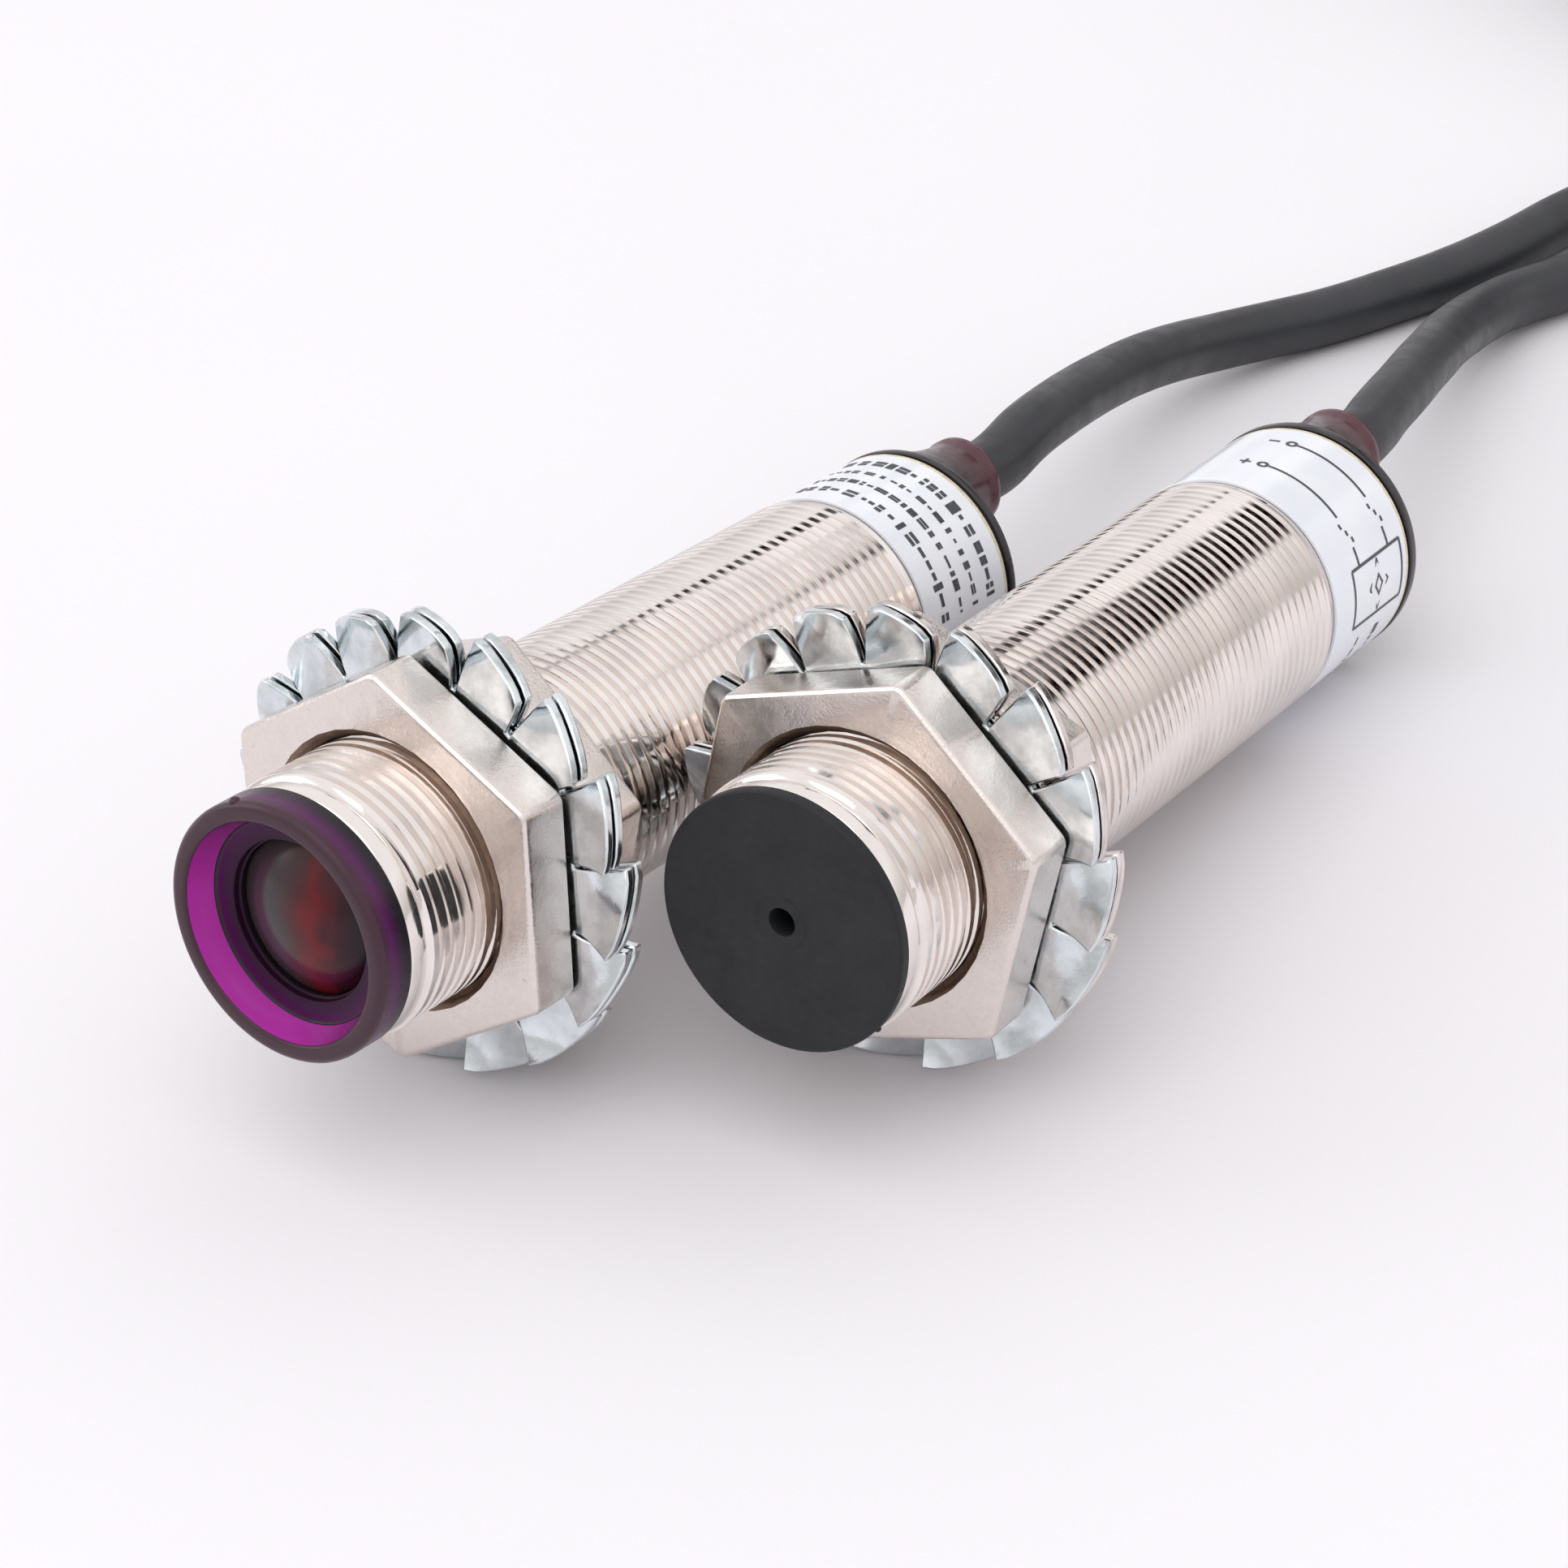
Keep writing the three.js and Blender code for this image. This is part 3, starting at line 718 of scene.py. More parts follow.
def join_rings(mesh_data, first, second, slot=0):
    """Faces between two rings of the same count, or between a ring and a single vertex."""
    count = max(len(first), len(second))
    for side in range(count):
        after = (side + 1) % count
        if len(first) == 1:
            corners = (first[0], second[side], second[after])
        elif len(second) == 1:
            corners = (first[side], second[0], first[after])
        else:
            corners = (first[side], second[side], second[after], first[after])
        mesh_data.faces.new(corners).material_index = slot


def lathed(profile, sides=96, centre=(0, 0), closed=True, slot_of=None):
    """A turned mesh. slot_of gives a stretch's material from its middle radius and s."""
    mesh_data = bmesh.new()
    rings = [ring_of(mesh_data, r, s, sides, centre) for r, s in profile]
    pairs = list(zip(range(len(rings)), range(1, len(rings))))
    if closed:
        pairs.append((len(rings) - 1, 0))
    for first, second in pairs:
        middle = [(profile[first][i] + profile[second][i]) / 2 for i in (0, 1)]
        slot = slot_of(*middle) if slot_of else 0
        if len(rings[first]) > 1 or len(rings[second]) > 1:
            join_rings(mesh_data, rings[first], rings[second], slot)
    return mesh_data


# ---- threaded barrel ---------------------------------------------------------------------------

PITCH = 1.0
THREAD_COLUMNS = 96
# One pitch of the profile, as (share of the pitch, share of the depth), from mid-crest.
THREAD_PROFILE = (
    (0.0, 0.0), (0.24, 0.0), (0.39, 0.8), (0.5, 1.0), (0.61, 0.8), (0.76, 0.0),
)
THREAD_DEPTH = 0.5
BAND_R = 8.72
THREAD_RUN = 0.8
FRONT_BAND = 1.1
REAR_BAND = 0.5


def thread_radius(depth_share, s, start, end, crest):
    """The surface's radius on a helical row; the thread fades into a plain band at both ends."""
    cut = crest - THREAD_DEPTH * depth_share
    full = eased(s, start, start + THREAD_RUN) * (1 - eased(s, end - THREAD_RUN / 2, end))
    return BAND_R + (cut - BAND_R) * full


def barrel(unit):
    """A right-handed helical thread between plain bands, and the plain end under the label."""
    front, rear = unit.span("barrel")
    crest = unit.radius("barrel")
    bore = unit.bore("barrel")
    label_start = unit.span("wrap_label")[0]
    start = front + FRONT_BAND
    end = label_start - REAR_BAND
    per_pitch = len(THREAD_PROFILE)
    rows = int((end - start) / PITCH * per_pitch)
    mesh_data = bmesh.new()
    grid = []
    for row in range(-per_pitch, rows + 2 * per_pitch + 1):
        line = []
        turn, place = divmod(row, per_pitch)
        share, depth_share = THREAD_PROFILE[place]
        for column in range(THREAD_COLUMNS):
            angle = TAU * column / THREAD_COLUMNS
            along = start + PITCH * (turn + share - column / THREAD_COLUMNS)
            s = min(end, max(start, along))
            r = thread_radius(depth_share, s, start, end, crest)
            line.append(mesh_data.verts.new((r * math.cos(angle), s, r * math.sin(angle))))
        grid.append(line)
    for row in range(len(grid) - 1):
        for column in range(THREAD_COLUMNS - 1):
            mesh_data.faces.new((
                grid[row][column], grid[row + 1][column],
                grid[row + 1][column + 1], grid[row][column + 1],
            ))
        seam = row - per_pitch
        if seam >= 0:
            last = THREAD_COLUMNS - 1
            mesh_data.faces.new((
                grid[row][last], grid[row + 1][last], grid[seam + 1][0], grid[seam][0],
            ))
    plain = unit.bore("wrap_label") - 0.08
    chamfer = 0.25
    ends = [
        (BAND_R, start), (BAND_R, front + chamfer), (BAND_R - chamfer, front), (bore, front),
        (bore, rear), (plain - chamfer, rear), (plain, rear - chamfer),
        (plain, label_start - 0.1), (BAND_R, label_start - 0.1), (BAND_R, end),
    ]
    rings = [ring_of(mesh_data, r, s, THREAD_COLUMNS) for r, s in ends]
    for first, second in zip(rings, rings[1:]):
        join_rings(mesh_data, first, second)
    piece = finish_mesh(f"{unit.name}_threaded_barrel", mesh_data, unit, [THREAD_NICKEL], 50)
    return assign(piece, unit.name, "nickel_thread", f"{unit.name}_barrel")


# ---- nuts and washers --------------------------------------------------------------------------

NUT_EDGE = 0.45
NUT_CORNER = 0.9
NUT_CORNER_STEPS = 6
NUT_SIDE_STEPS = 6
NUT_BORE = 9.06
NUT_MOUTH = 9.75
NUT_MOUTH_DEPTH = 0.75


def hexagon(apothem, corner, roll):
    """Points round a hexagon with rounded corners, and their directions from the axis."""
    points = []
    reach = (apothem - corner) / math.cos(math.radians(30))
    for side in range(6):
        middle = math.radians(60 * side + roll)
        for step in range(NUT_CORNER_STEPS + 1):
            angle = middle + math.radians(60) * (step / NUT_CORNER_STEPS - 0.5)
            points.append(Vector((
                reach * math.cos(middle) + corner * math.cos(angle),
                reach * math.sin(middle) + corner * math.sin(angle),
            )))
        following = math.radians(60 * (side + 1) + roll)
        first_angle = following - math.radians(30)
        following_point = Vector((
            reach * math.cos(following) + corner * math.cos(first_angle),
            reach * math.sin(following) + corner * math.sin(first_angle),
        ))
        here = points[-1].copy()
        for step in range(1, NUT_SIDE_STEPS):
            points.append(here.lerp(following_point, step / NUT_SIDE_STEPS))
    return points


def nut_roll(unit, side):
    """The angle of the nut's first corner, from the CAD node's farthest vertex."""
    points = unit.points(f"{side}_nut")
    corner = max(points, key=lambda point: math.hypot(point.x, point.z))
    return math.degrees(math.atan2(corner.z, corner.x)) % 60


def nut(unit, side):
    front, rear = unit.span(f"{side}_nut")
    apothem = unit.radius(f"{side}_nut") * math.cos(math.radians(30))
    roll = nut_roll(unit, side)
    mesh_data = bmesh.new()

    def outline(inset, s):
        corner = max(0.15, NUT_CORNER - inset * 0.4)
        points = hexagon(apothem - inset, corner, roll)
        return [mesh_data.verts.new((point.x, s, point.y)) for point in points]

    def circle(radius, s):
        directions = [point.normalized() for point in hexagon(apothem, NUT_CORNER, roll)]
        return [mesh_data.verts.new((radius * d.x, s, radius * d.y)) for d in directions]

    loops = [circle(NUT_BORE, front + NUT_MOUTH_DEPTH), circle(NUT_MOUTH, front)]
    bend_steps = 3
    for step in range(bend_steps + 1):
        angle = math.pi / 2 * step / bend_steps
        inset = NUT_EDGE * (1 - math.sin(angle))
        loops.append(outline(inset, front + NUT_EDGE * (1 - math.cos(angle))))
    for step in range(bend_steps, -1, -1):
        angle = math.pi / 2 * step / bend_steps
        inset = NUT_EDGE * (1 - math.sin(angle))
        loops.append(outline(inset, rear - NUT_EDGE * (1 - math.cos(angle))))
    loops += [circle(NUT_MOUTH, rear), circle(NUT_BORE, rear - NUT_MOUTH_DEPTH)]
    last = len(loops) - 1
    for index, (first, second) in enumerate(zip(loops, loops[1:] + loops[:1])):
        in_bore = index in (0, last - 1, last)
        join_rings(mesh_data, first, second, int(in_bore))
    # The second material, on the bore and mouth faces, is painted shade.
    finishes = [CAST_NICKEL, NUT_MOUTH_SHADE]
    piece = finish_mesh(f"{unit.name}_{side}_hex_nut", mesh_data, unit, finishes, 28)
    return assign(piece, f"{unit.name}_{side}_nut", "nickel_nut", f"{unit.name}_{side}_nut")


TEETH = 16
TOOTH_COLUMNS = 7
TOOTH_ROWS = 6
TOOTH_TWIST = 1.15
TOOTH_ROOT_R = 12.15
WASHER_BORE = 9.12
WASHER_RIM = 0.14


def tooth_bend(share_out, share_along):
    """How far a point of a tooth is bent rearward: the clockwise end stands forward."""
    return TOOTH_TWIST * share_out ** 1.5 * share_along


def lock_washer(unit, side, material):
    """A flat ring with sixteen teeth, each twisted like a blade about its own radius."""
    front, rear = unit.span(f"{side}_lock_washer")
    outer = unit.radius(f"{side}_lock_washer")
    pitch = TAU / TEETH
    slot_share = 0.07
    mesh_data = bmesh.new()
    columns = []
    for tooth in range(TEETH):
        middle = tooth * pitch - math.pi / 2
        half = pitch * (1 - slot_share) / 2
        for column in range(TOOTH_COLUMNS + 1):
            along = 2 * column / TOOTH_COLUMNS - 1
            columns.append((tooth, middle + half * along, along))

    def sheet_side(s):
        """Rows of vertices on one face of the washer, from the bore out to the teeth's tips."""
        rows = []
        for radius in (WASHER_BORE, (WASHER_BORE + TOOTH_ROOT_R) / 2, TOOTH_ROOT_R):
            rows.append([
                mesh_data.verts.new((radius * math.cos(a), s, radius * math.sin(a)))
                for _, a, _ in columns
            ])
        for row in range(1, TOOTH_ROWS + 1):
            out = row / TOOTH_ROWS
            line = []
            for _, angle, along in columns:
                drawn_in = 0.28 * along ** 4 * out
                radius = TOOTH_ROOT_R + (outer - TOOTH_ROOT_R - drawn_in) * out
                bend = tooth_bend(out, along)
                place = (radius * math.cos(angle), s + bend, radius * math.sin(angle))
                line.append(mesh_data.verts.new(place))
            rows.append(line)
        return rows

    sides = [sheet_side(front), sheet_side(rear)]
    count = len(columns)
    for column in range(count):
        after = (column + 1) % count
        same_tooth = columns[column][0] == columns[after][0]
        last_row = len(sides[0]) - 1 if same_tooth else 2
        for rows in sides:
            for row in range(last_row):
                mesh_data.faces.new((
                    rows[row][column], rows[row + 1][column],
                    rows[row + 1][after], rows[row][after],
                ))
        for row in (0, last_row):
            mesh_data.faces.new((
                sides[0][row][column], sides[1][row][column],
                sides[1][row][after], sides[0][row][after],
            ))
        if not same_tooth:
            for edge in (column, after):
                for row in range(2, len(sides[0]) - 1):
                    mesh_data.faces.new((
                        sides[0][row][edge], sides[0][row + 1][edge],
                        sides[1][row + 1][edge], sides[1][row][edge],
                    ))
    name = f"{unit.name}_{side}_blade_washer"
    piece = finish_mesh(name, mesh_data, unit, [material], 40, WASHER_RIM)
    body = f"{unit.name}_{side}_washer"
    return assign(piece, body, "zinc_washer", f"{unit.name}_{side}_lock_washer")


# ---- front ends --------------------------------------------------------------------------------


def nub(mesh_data, angle_degrees, radius, s, size):
    """The small stub that a moulding gate leaves on a rim."""
    angle = math.radians(angle_degrees)
    place = Matrix.Translation((radius * math.cos(angle), s, radius * math.sin(angle)))
    stub = bmesh.ops.create_icosphere(mesh_data, subdivisions=2, radius=size, matrix=place)
    return stub["verts"]


def front_cap():
    """A flat black cap with a small beam hole in a shallow ring."""
    unit = EMITTER
    back = unit.span("front_cap")[1]
    flange_back = unit.span("barrel")[0] - 0.05
    outer = unit.radius("front_cap")
    plug = unit.bore("barrel") - 0.3
    hole = unit.bore("front_cap")
    profile = filleted([
        (hole, 0.12, 0.10), (1.75, 0.12, 0.10), (1.95, 0.0, 0.2), (outer, 0.0, 0.22),
        (outer, flange_back, 0.06), (plug, flange_back, 0), (plug, back, 0.3), (hole, back, 0.1),
    ])
    mesh_data = lathed(profile)
    nub(mesh_data, -38, outer - 0.08, 0.42, 0.26)
    piece = finish_mesh("emitter_beam_cap", mesh_data, unit, [MOULDED_BLACK])
    return assign(piece, unit.name, "black_plastic", "emitter_front_cap")


# The floor's depth is read from the photograph against the rim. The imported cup's floor is 3.1 mm deep.
CUP_MOUTH_R = 7.62
CUP_FOOT_R = 6.95
CUP_FLOOR_S = 2.25
SEAT_R = 5.5
LENS_SAG = 1.9


def cup_slot(radius, s):
    """Which of the cup's materials a stretch of its profile takes."""
    if radius < CUP_FOOT_R - 0.1 and s < CUP_FLOOR_S + 0.8:
        return 2
    if radius < CUP_MOUTH_R + 0.02 and 0.35 < s < CUP_FLOOR_S - 0.25:
        return 1
    return 0


def lens_cup():
    """The receiver's thick purple rim, with a glowing bore and a dark stepped seat."""
    unit = RECEIVER
    back = unit.span("lens_cup")[1]
    flange_back = unit.span("barrel")[0] - 0.05
    outer = unit.radius("lens_cup")
    plug = unit.bore("barrel") - 0.3
    seat = unit.radius("front_lens") + 0.05
    profile = filleted([
        (CUP_MOUTH_R, 0.0, 0.30), (outer, 0.0, 0.55), (outer, flange_back, 0.12),
        (plug, flange_back, 0), (plug, back, 0.3), (seat, back, 0.2),
        (seat, CUP_FLOOR_S + 0.55, 0.1), (SEAT_R, CUP_FLOOR_S + 0.55, 0.12),
        (SEAT_R, CUP_FLOOR_S, 0.12), (CUP_FOOT_R, CUP_FLOOR_S, 0.25),
    ])
    mesh_data = lathed(profile, 128, slot_of=cup_slot)
    nub(mesh_data, 112, outer - 0.15, 0.55, 0.42)
    piece = finish_mesh(
        "receiver_rim_cup", mesh_data, unit, [CUP_PURPLE, CUP_BORE, CUP_FLOOR]
    )
    return assign(piece, unit.name, "purple_plastic", "receiver_lens_cup")


def front_lens():
    """The domed filter lens in the cup's seat."""
    unit = RECEIVER
    apex, back = unit.span("front_lens")
    edge_r = unit.radius("front_lens")
    sphere_r = (edge_r ** 2 + LENS_SAG ** 2) / (2 * LENS_SAG)
    rings = 16
    profile = []
    for ring in range(rings + 1):
        r = edge_r * ring / rings
        profile.append((r, apex + sphere_r - math.sqrt(sphere_r ** 2 - r ** 2)))
    profile += [(edge_r, back), (0, back)]
    piece = finish_mesh("receiver_dome_lens", lathed(profile, closed=False), unit, [LENS_RED])
    return assign(piece, unit.name, "red_lens", "receiver_front_lens")


# ---- rear ends ---------------------------------------------------------------------------------

INK_LIFT = 0.03
INK_W = 0.24


def wrap_label(unit):
    """The label's film, with its glue-yellowed rear edge."""
    start, end = unit.span("wrap_label")
    outer = unit.radius("wrap_label")
    inner = unit.bore("wrap_label")
    edge = end - 0.35

    def film_slot(_, s):
        return 1 if s > edge else 0

    profile = filleted([
        (outer, start, 0.06), (outer, edge, 0), (outer, end, 0.06), (inner, end, 0), (inner, start, 0),
    ])
    mesh_data = lathed(profile, 128, slot_of=film_slot)
    piece = finish_mesh(f"{unit.name}_label_film", mesh_data, unit, [LABEL_FILM, LABEL_EDGE])
    return assign(piece, unit.name, "white_label", f"{unit.name}_wrap_label")


class Ink:
    """Flat print on a label: shapes in (degrees round the axis, s) laid on the film."""

    def __init__(self, unit):
        self.unit = unit
        self.data = bmesh.new()
        self.radius = unit.radius("wrap_label") + INK_LIFT

    def degrees(self, length):
        return math.degrees(length / self.radius)

    def vertex(self, degrees, s):
        angle = math.radians(degrees)
        place = (self.radius * math.cos(angle), s, self.radius * math.sin(angle))
        return self.data.verts.new(place)

    def bar(self, first, last, s_low, s_high):
        """A filled rectangle from one angle to another."""
        steps = max(1, int(abs(last - first) / 3))
        angles = [first + (last - first) * step / steps for step in range(steps + 1)]
        low = [self.vertex(angle, s_low) for angle in angles]
        high = [self.vertex(angle, s_high) for angle in angles]
        for step in range(steps):
            self.data.faces.new((low[step], low[step + 1], high[step + 1], high[step]))

    def around(self, first, last, s):
        self.bar(first, last, s - INK_W / 2, s + INK_W / 2)

    def along(self, degrees, s_low, s_high):
        half = self.degrees(INK_W) / 2
        self.bar(degrees - half, degrees + half, s_low, s_high)

    def closed_line(self, points):
        """A line round a closed outline of (degrees, s) points, drawn inside it."""
        middle = [sum(point[i] for point in points) / len(points) for i in (0, 1)]
        size = max(abs(point[1] - middle[1]) for point in points)
        shrink = 1 - INK_W / size
        outer = [self.vertex(*point) for point in points]
        inner = [
            self.vertex(*(middle[i] + (point[i] - middle[i]) * shrink for i in (0, 1)))
            for point in points
        ]
        for index in range(len(points)):
            after = (index + 1) % len(points)
            self.data.faces.new((outer[index], outer[after], inner[after], inner[index]))

    def ring(self, degrees, s, radius):
        sides = 20
        self.closed_line([
            (degrees + self.degrees(radius * math.cos(TAU * side / sides)),
             s + radius * math.sin(TAU * side / sides))
            for side in range(sides)
        ])

    def piece(self):
        name = f"{self.unit.name}_label_print"
        piece = finish_mesh(name, self.data, self.unit, [LABEL_INK])
        return assign(piece, self.unit.name, "white_label")


def wiring_print():
    """The emitter's print: two supply lines with their terminals, into a box with a diamond."""
    ink = Ink(EMITTER)
    start = EMITTER.span("wrap_label")[0]
    box_front, box_rear, box_top, box_foot = start + 2.9, start + 10.3, 19.5, -9
    for s, sign_is_plus in ((start + 4.1, True), (start + 8.6, False)):
        terminal = 88
        ink.ring(terminal, s, 0.46)
        ink.around(terminal - 3, 44.5, s)
        for part in range(3):
            mark = 41.5 - 4 * part
            ink.around(mark, mark - 2.6, s - 0.35 + 0.35 * part)
        ink.around(29, box_top, s)
        ink.around(94.2, 99.8, s)
        if sign_is_plus:
            ink.along(97, s - 0.45, s + 0.45)
    for side_s in (box_front, box_rear):
        ink.around(box_top, box_foot, side_s)
    for side_angle in (box_top, box_foot):
        ink.along(side_angle, box_front, box_rear)
    middle_s = (box_front + box_rear) / 2
    middle = (box_top + box_foot) / 2
    for half in (1.5, 0.65):
        reach = ink.degrees(half * 1.4)
        ink.closed_line([
            (middle + reach, middle_s), (middle, middle_s + half),
            (middle - reach, middle_s), (middle, middle_s - half),
        ])
    draw = random.Random(5)
    for s in (start + 4.6, start + 7.6):
        text_line(ink, draw, s, 0.9, -18, -70)
    return ink.piece()


def text_line(ink, draw, s, height, first, last):
    """A row of plain bars in place of a line of text, running round the label."""
    angle = first
    while angle > last:
        length = draw.uniform(2.2, 6.5)
        rise = height * draw.uniform(0.75, 1.0) / 2
        thickness = height * 0.24
        stroke_count = draw.choice((1, 2, 2, 3))
        for stroke in range(stroke_count):
            place = s - rise + (2 * rise - thickness) * (stroke + 0.5) / stroke_count
            ink.bar(angle, max(last, angle - length), place, place + thickness)
        angle -= length + draw.choice((1.6, 1.6, 3.4))


def block_print():
    """The receiver's print: four rows of bars standing for its data lines."""
    ink = Ink(RECEIVER)
    start = RECEIVER.span("wrap_label")[0]
    draw = random.Random(11)
    for offset, height in ((2.1, 1.5), (4.1, 1.05), (5.9, 0.9), (7.9, 1.6)):
        text_line(ink, draw, start + offset, height, 118, 8)
    return ink.piece()


def rear_cap(unit):
    """The black end cap with its rounded flange."""
    front, back = unit.span("rear_cap")
    outer = unit.radius("rear_cap")
    plug = unit.bore("barrel") - 0.3
    flange = unit.span("barrel")[1] + 0.05
    profile = filleted([
        (0, front, 0), (plug, front, 0.4), (plug, flange, 0), (outer, flange, 0.15),
        (outer, back, 0.45), (0, back, 0),
    ], closed=False)
    piece = finish_mesh(f"{unit.name}_end_cap", lathed(profile, closed=False), unit, [MAROON])
    return assign(piece, unit.name, "dark_red_plastic", f"{unit.name}_rear_cap")


def strain_relief(unit):
    """The tapered sleeve: a flared foot on the cap, a waist and a rolled lip round the cable."""
    centre = unit.centre("strain_relief")
    front, back = unit.span("strain_relief")
    foot_r = unit.radius_about("strain_relief", centre)
    lip_s = back + 0.25
    flare = [(foot_r, front - 0.35)]
    steps = 10
    waist_r, lip_r = 3.35, 3.5
    for step in range(1, steps + 1):
        along = step / steps
        radius = waist_r + (foot_r - waist_r) * (1 - along) ** 1.7
        flare.append((radius, front - 0.1 + (lip_s - 1.1 - front) * along))
    lip = [(lip_r, lip_s - 0.75), (lip_r, lip_s - 0.3), (lip_r - 0.25, lip_s), (2.7, lip_s)]
    mouth = [(2.42, lip_s - 0.25), (2.42, front + 2), (2.42, front - 0.35)]
    mesh_data = lathed([*flare, *lip, *mouth], 64, (centre.x, centre.z))
    piece = finish_mesh(f"{unit.name}_relief_sleeve", mesh_data, unit, [MAROON], 40)
    return assign(piece, unit.name, "dark_red_plastic", f"{unit.name}_strain_relief")


# ---- coil ties ---------------------------------------------------------------------------------

TIE_W = 4.0
TIE_T = 0.7


def coil_tie(unit):
    """A nylon strap round the coil's section, pressed into the cable, with its locking head."""
    facts = CABLES[unit.name]
    inner = COIL_INNER_COLUMN_M / MM - 2.4 - 0.15
    outer = COIL_OUTER_COLUMN_M / MM + 2.4 + 0.15
    low, high, corner = 0.02, 2 * COIL_LAYERS * 2.4 + 0.25, 2.3
    corners = [(inner, low), (outer, low), (outer, high), (inner, high)]
    turn_of = ((1, 1), (-1, 1), (-1, -1), (1, -1))
    steps = 6
    path = []
    for index, ((r, z), (side_r, side_z)) in enumerate(zip(corners, turn_of)):
        hub = Vector((r + side_r * corner, z + side_z * corner))
        first = math.pi + index * math.pi / 2
        for step in range(steps + 1):
            angle = first + math.pi / 2 * step / steps
            direction = Vector((math.cos(angle), math.sin(angle)))
            path.append((hub + direction * corner, direction))
    mesh_data = bmesh.new()
    ring_list = []
    for point, outward in path:
        ring = []
        lift = 0.0 if point.y < corner * 0.5 and abs(outward.x) < 0.9 else TIE_T
        out_point = point + outward * lift
        out_point.y = max(out_point.y, 0.0)
        in_point = point if lift else point + Vector((0, 0.3))
        for place, width in ((in_point, -1), (out_point, -1), (out_point, 1), (in_point, 1)):
            ring.append(mesh_data.verts.new((place.x, width * TIE_W / 2, place.y)))
        ring_list.append(ring)
    for first, second in zip(ring_list, ring_list[1:] + ring_list[:1]):
        join_rings(mesh_data, first, second)
    head = bmesh.ops.create_cube(mesh_data, size=1)["verts"]
    bmesh.ops.scale(mesh_data, vec=(5.6, 5.2, 1.3), verts=head)
    bmesh.ops.translate(mesh_data, vec=((inner + outer) / 2, 0, high + 0.2), verts=head)
    middle = Matrix.Translation((*facts["coil"], 0))
    place = Place(middle @ Matrix.Rotation(math.radians(facts["tie"]), 4, "Z"))
    piece = finish_mesh(f"{unit.name}_tie_strap", mesh_data, place, [NYLON], 35, 0.18)
    return assign(piece, unit.name, "nylon", f"{unit.name}_coil_tie")


# ---- hidden parts that keep their CAD shape ----------------------------------------------------

INNER_FINISH = {
    "emitter_laser_tube": BRASS,
    "emitter_module_holder": MOULDED_BLACK,
    "emitter_collimating_lens": CLEAR_LENS,
    "emitter_lens_retainer": BRASS,
    "emitter_laser_diode": STEEL,
    "emitter_circuit_board": BOARD,
    "emitter_driver_chip": EPOXY,
    "emitter_protection_diode": EPOXY,
    "emitter_power_transistor": EPOXY,
    "emitter_capacitor": CAN,
    "emitter_indicator_led": RED_LED,
    "emitter_cap_seal": RUBBER,
    "receiver_light_baffle": MOULDED_BLACK,
    "receiver_photodiode": EPOXY,
    "receiver_sensor_board": BOARD,
    "receiver_circuit_board": BOARD,
    "receiver_amplifier_chip": EPOXY,
    "receiver_shield_can": STEEL,
    "receiver_output_transistor": EPOXY,
    "receiver_trimmer": NYLON,
    "receiver_capacitor": CAN,
    "receiver_indicator_led": RED_LED,
    "receiver_cap_seal": RUBBER,
}


def finish_inner_parts():
    for node, material in INNER_FINISH.items():
        slots = frame["nodes"][node].data.materials
        slots.clear()
        slots.append(material)


# ---- stage -------------------------------------------------------------------------------------

FLOOR_HALF_M = 3.0


def make_floor():
    mesh_data = bmesh.new()
    bmesh.ops.create_grid(mesh_data, x_segments=1, y_segments=1, size=FLOOR_HALF_M)
    mesh = bpy.data.meshes.new("floor")
    mesh_data.to_mesh(mesh)
    mesh_data.free()
    mesh.materials.append(floor_white())
    link(bpy.data.objects.new("floor", mesh))


# Dark openings in the white tent round the pair, as (azimuth from +Y to +X, elevation, half width,
# half height) in degrees.
TENT_OPENINGS = ((6, 27, 15, 5.5), (-25, 24, 3.2, 4.5))


OPENING_EDGE = (0.85, 1.15)
TENT_SHADES = ((0.05, (0.66, 0.635, 0.63, 1)), (0.42, (1.04, 1.025, 1.04, 1)))


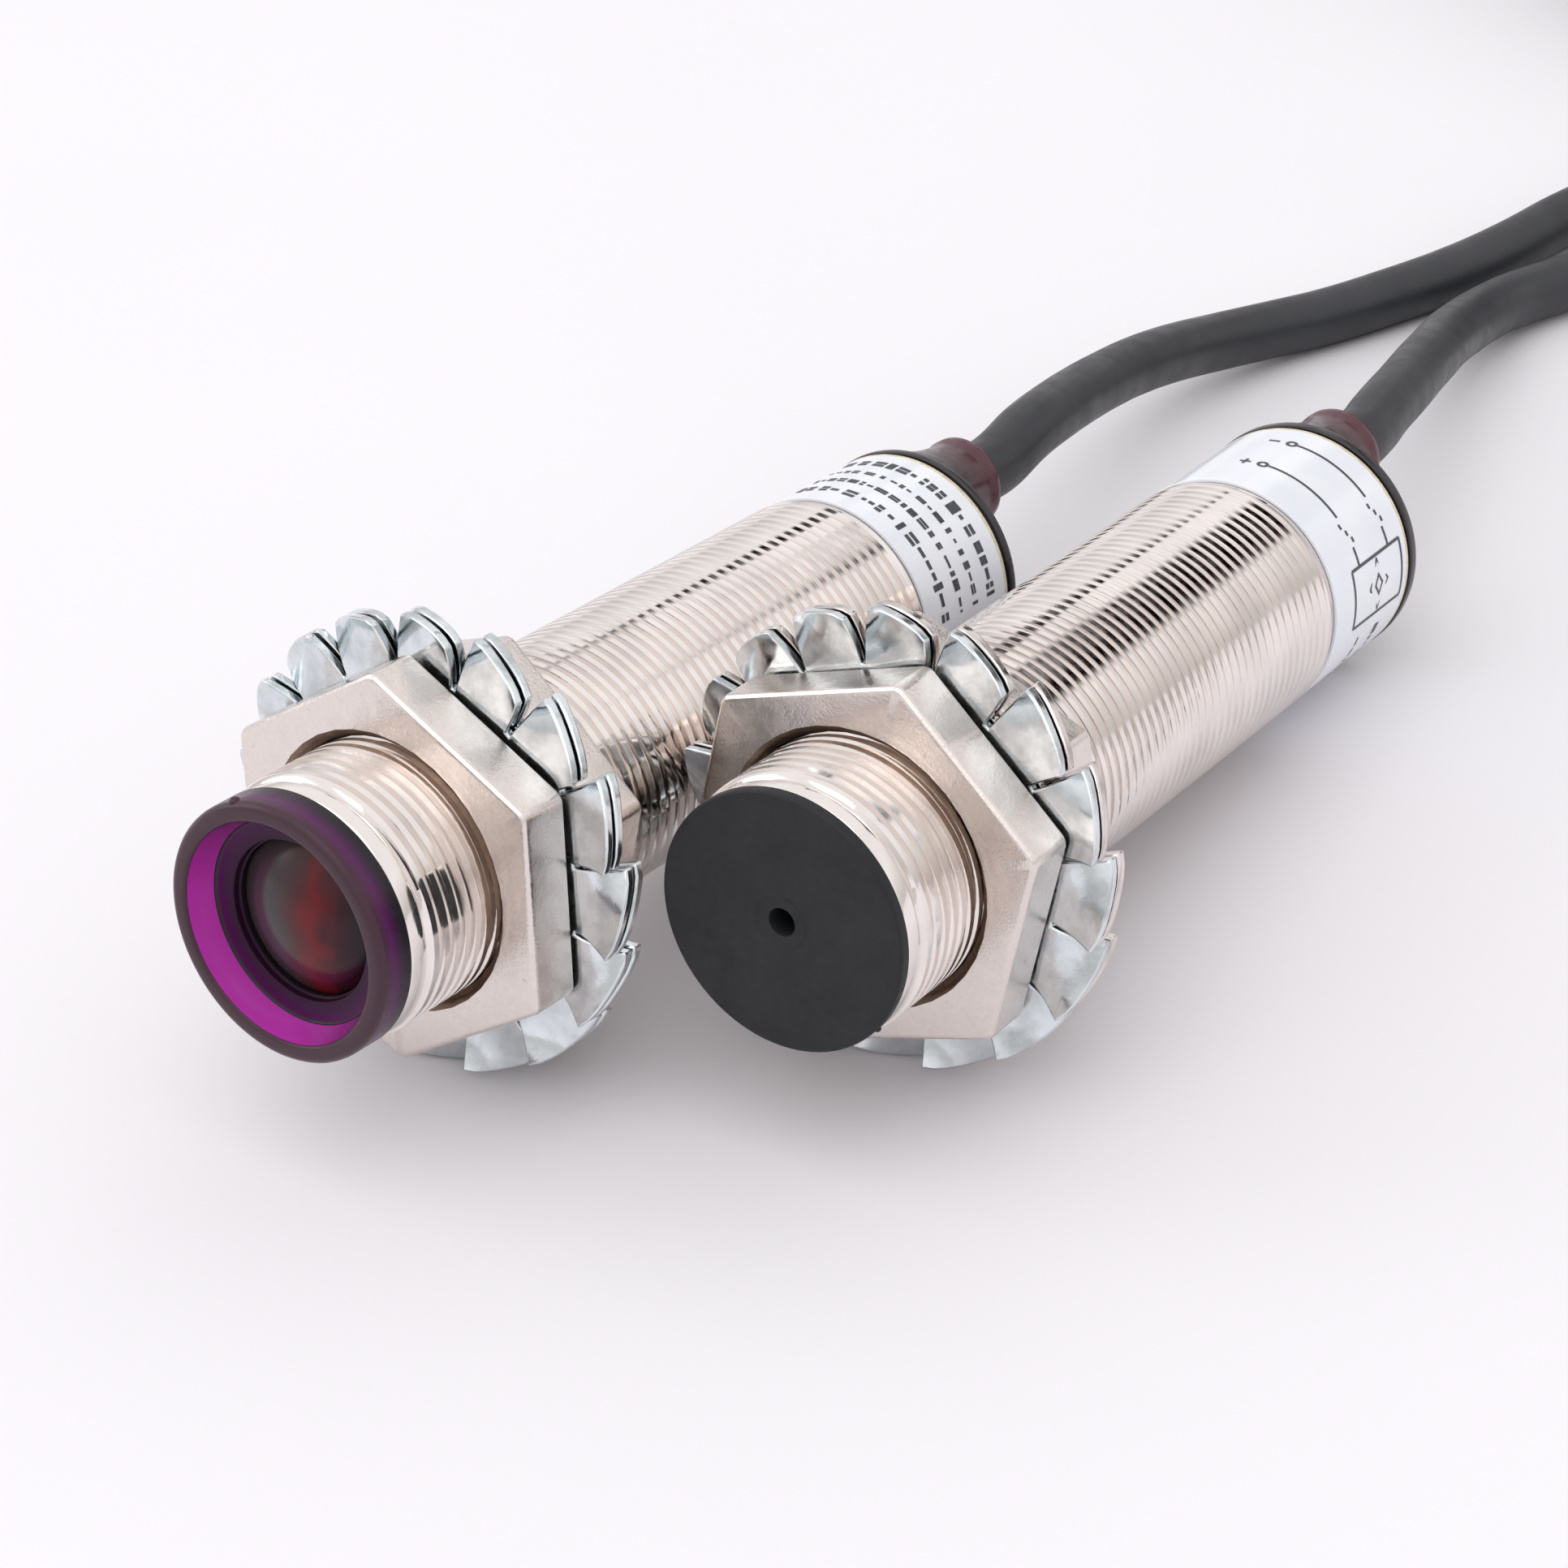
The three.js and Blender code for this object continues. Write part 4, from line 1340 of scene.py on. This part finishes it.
def make_world():
    """A white tent, a little darker low down, with dark openings between its panels."""
    world = bpy.data.worlds.new("white_tent")
    bpy.context.scene.world = world
    world.use_nodes = True
    tree = world.node_tree
    background = tree.nodes["Background"]

    def calculate(operation, first, second=None):
        node = tree.nodes.new("ShaderNodeMath")
        node.operation = operation
        for socket, value in zip(node.inputs, (first, second)):
            if isinstance(value, bpy.types.NodeSocket):
                tree.links.new(value, socket)
            elif value is not None:
                socket.default_value = value
        return node.outputs[0]

    direction = tree.nodes.new("ShaderNodeTexCoord").outputs["Generated"]
    split = tree.nodes.new("ShaderNodeSeparateXYZ")
    tree.links.new(direction, split.inputs[0])
    x, y, z = split.outputs
    azimuth = calculate("ARCTAN2", x, y)
    elevation = calculate("ARCSINE", z)
    light = None
    for centre_az, centre_el, half_az, half_el in TENT_OPENINGS:
        off_az = calculate("ABSOLUTE", calculate("SUBTRACT", azimuth, math.radians(centre_az)))
        off_el = calculate("ABSOLUTE", calculate("SUBTRACT", elevation, math.radians(centre_el)))
        share_az = calculate("DIVIDE", off_az, math.radians(half_az))
        share_el = calculate("DIVIDE", off_el, math.radians(half_el))
        reach = calculate("MAXIMUM", share_az, share_el)
        softened = tree.nodes.new("ShaderNodeMapRange")
        for end, share in zip(("From Min", "From Max"), OPENING_EDGE):
            softened.inputs[end].default_value = share
        tree.links.new(reach, softened.inputs["Value"])
        opening = softened.outputs["Result"]
        light = opening if light is None else calculate("MULTIPLY", light, opening)
    wall = tree.nodes.new("ShaderNodeValToRGB")
    for stop, (height, shade) in zip(wall.color_ramp.elements, TENT_SHADES):
        stop.position, stop.color = height, shade
    tree.links.new(calculate("ABSOLUTE", z), wall.inputs["Fac"])
    tree.links.new(wall.outputs["Color"], background.inputs["Color"])
    tree.links.new(light, background.inputs["Strength"])


def area_light(name, place, size, power):
    data = bpy.data.lights.new(name, "AREA")
    data.energy = power
    data.size = size
    lamp = link(bpy.data.objects.new(name, data))
    lamp.location = place
    aim = CAMERA_TARGET_M - Vector(place)
    lamp.rotation_mode = "QUATERNION"
    lamp.rotation_quaternion = aim.to_track_quat("-Z", "Y")


def light_scene():
    bpy.context.scene.view_settings.view_transform = "Standard"
    make_world()
    area_light("overhead", (0.05, -0.35, 0.9), 0.9, 1.9)
    area_light("left_side", (-0.9, -0.3, 0.5), 0.6, 1.6)


# ---- assembly ----------------------------------------------------------------------------------


def build_unit(unit):
    run, exit_m = cable(unit)
    tie = coil_tie(unit)
    ends = []
    for index, colour in enumerate(CABLES[unit.name]["leads"]):
        ends += lead(unit, index, colour, CABLES[unit.name])
    barrel(unit)
    for side in ("front", "rear"):
        nut(unit, side)
    wrap_label(unit)
    rear_cap(unit)
    strain_relief(unit)


for unit in UNITS:
    build_unit(unit)
lock_washer(EMITTER, "front", ZINC)
lock_washer(EMITTER, "rear", WARM_ZINC)
lock_washer(RECEIVER, "front", ZINC)
lock_washer(RECEIVER, "rear", ZINC)
front_cap()
lens_cup()
front_lens()
wiring_print()
block_print()
finish_inner_parts()
make_floor()
light_scene()
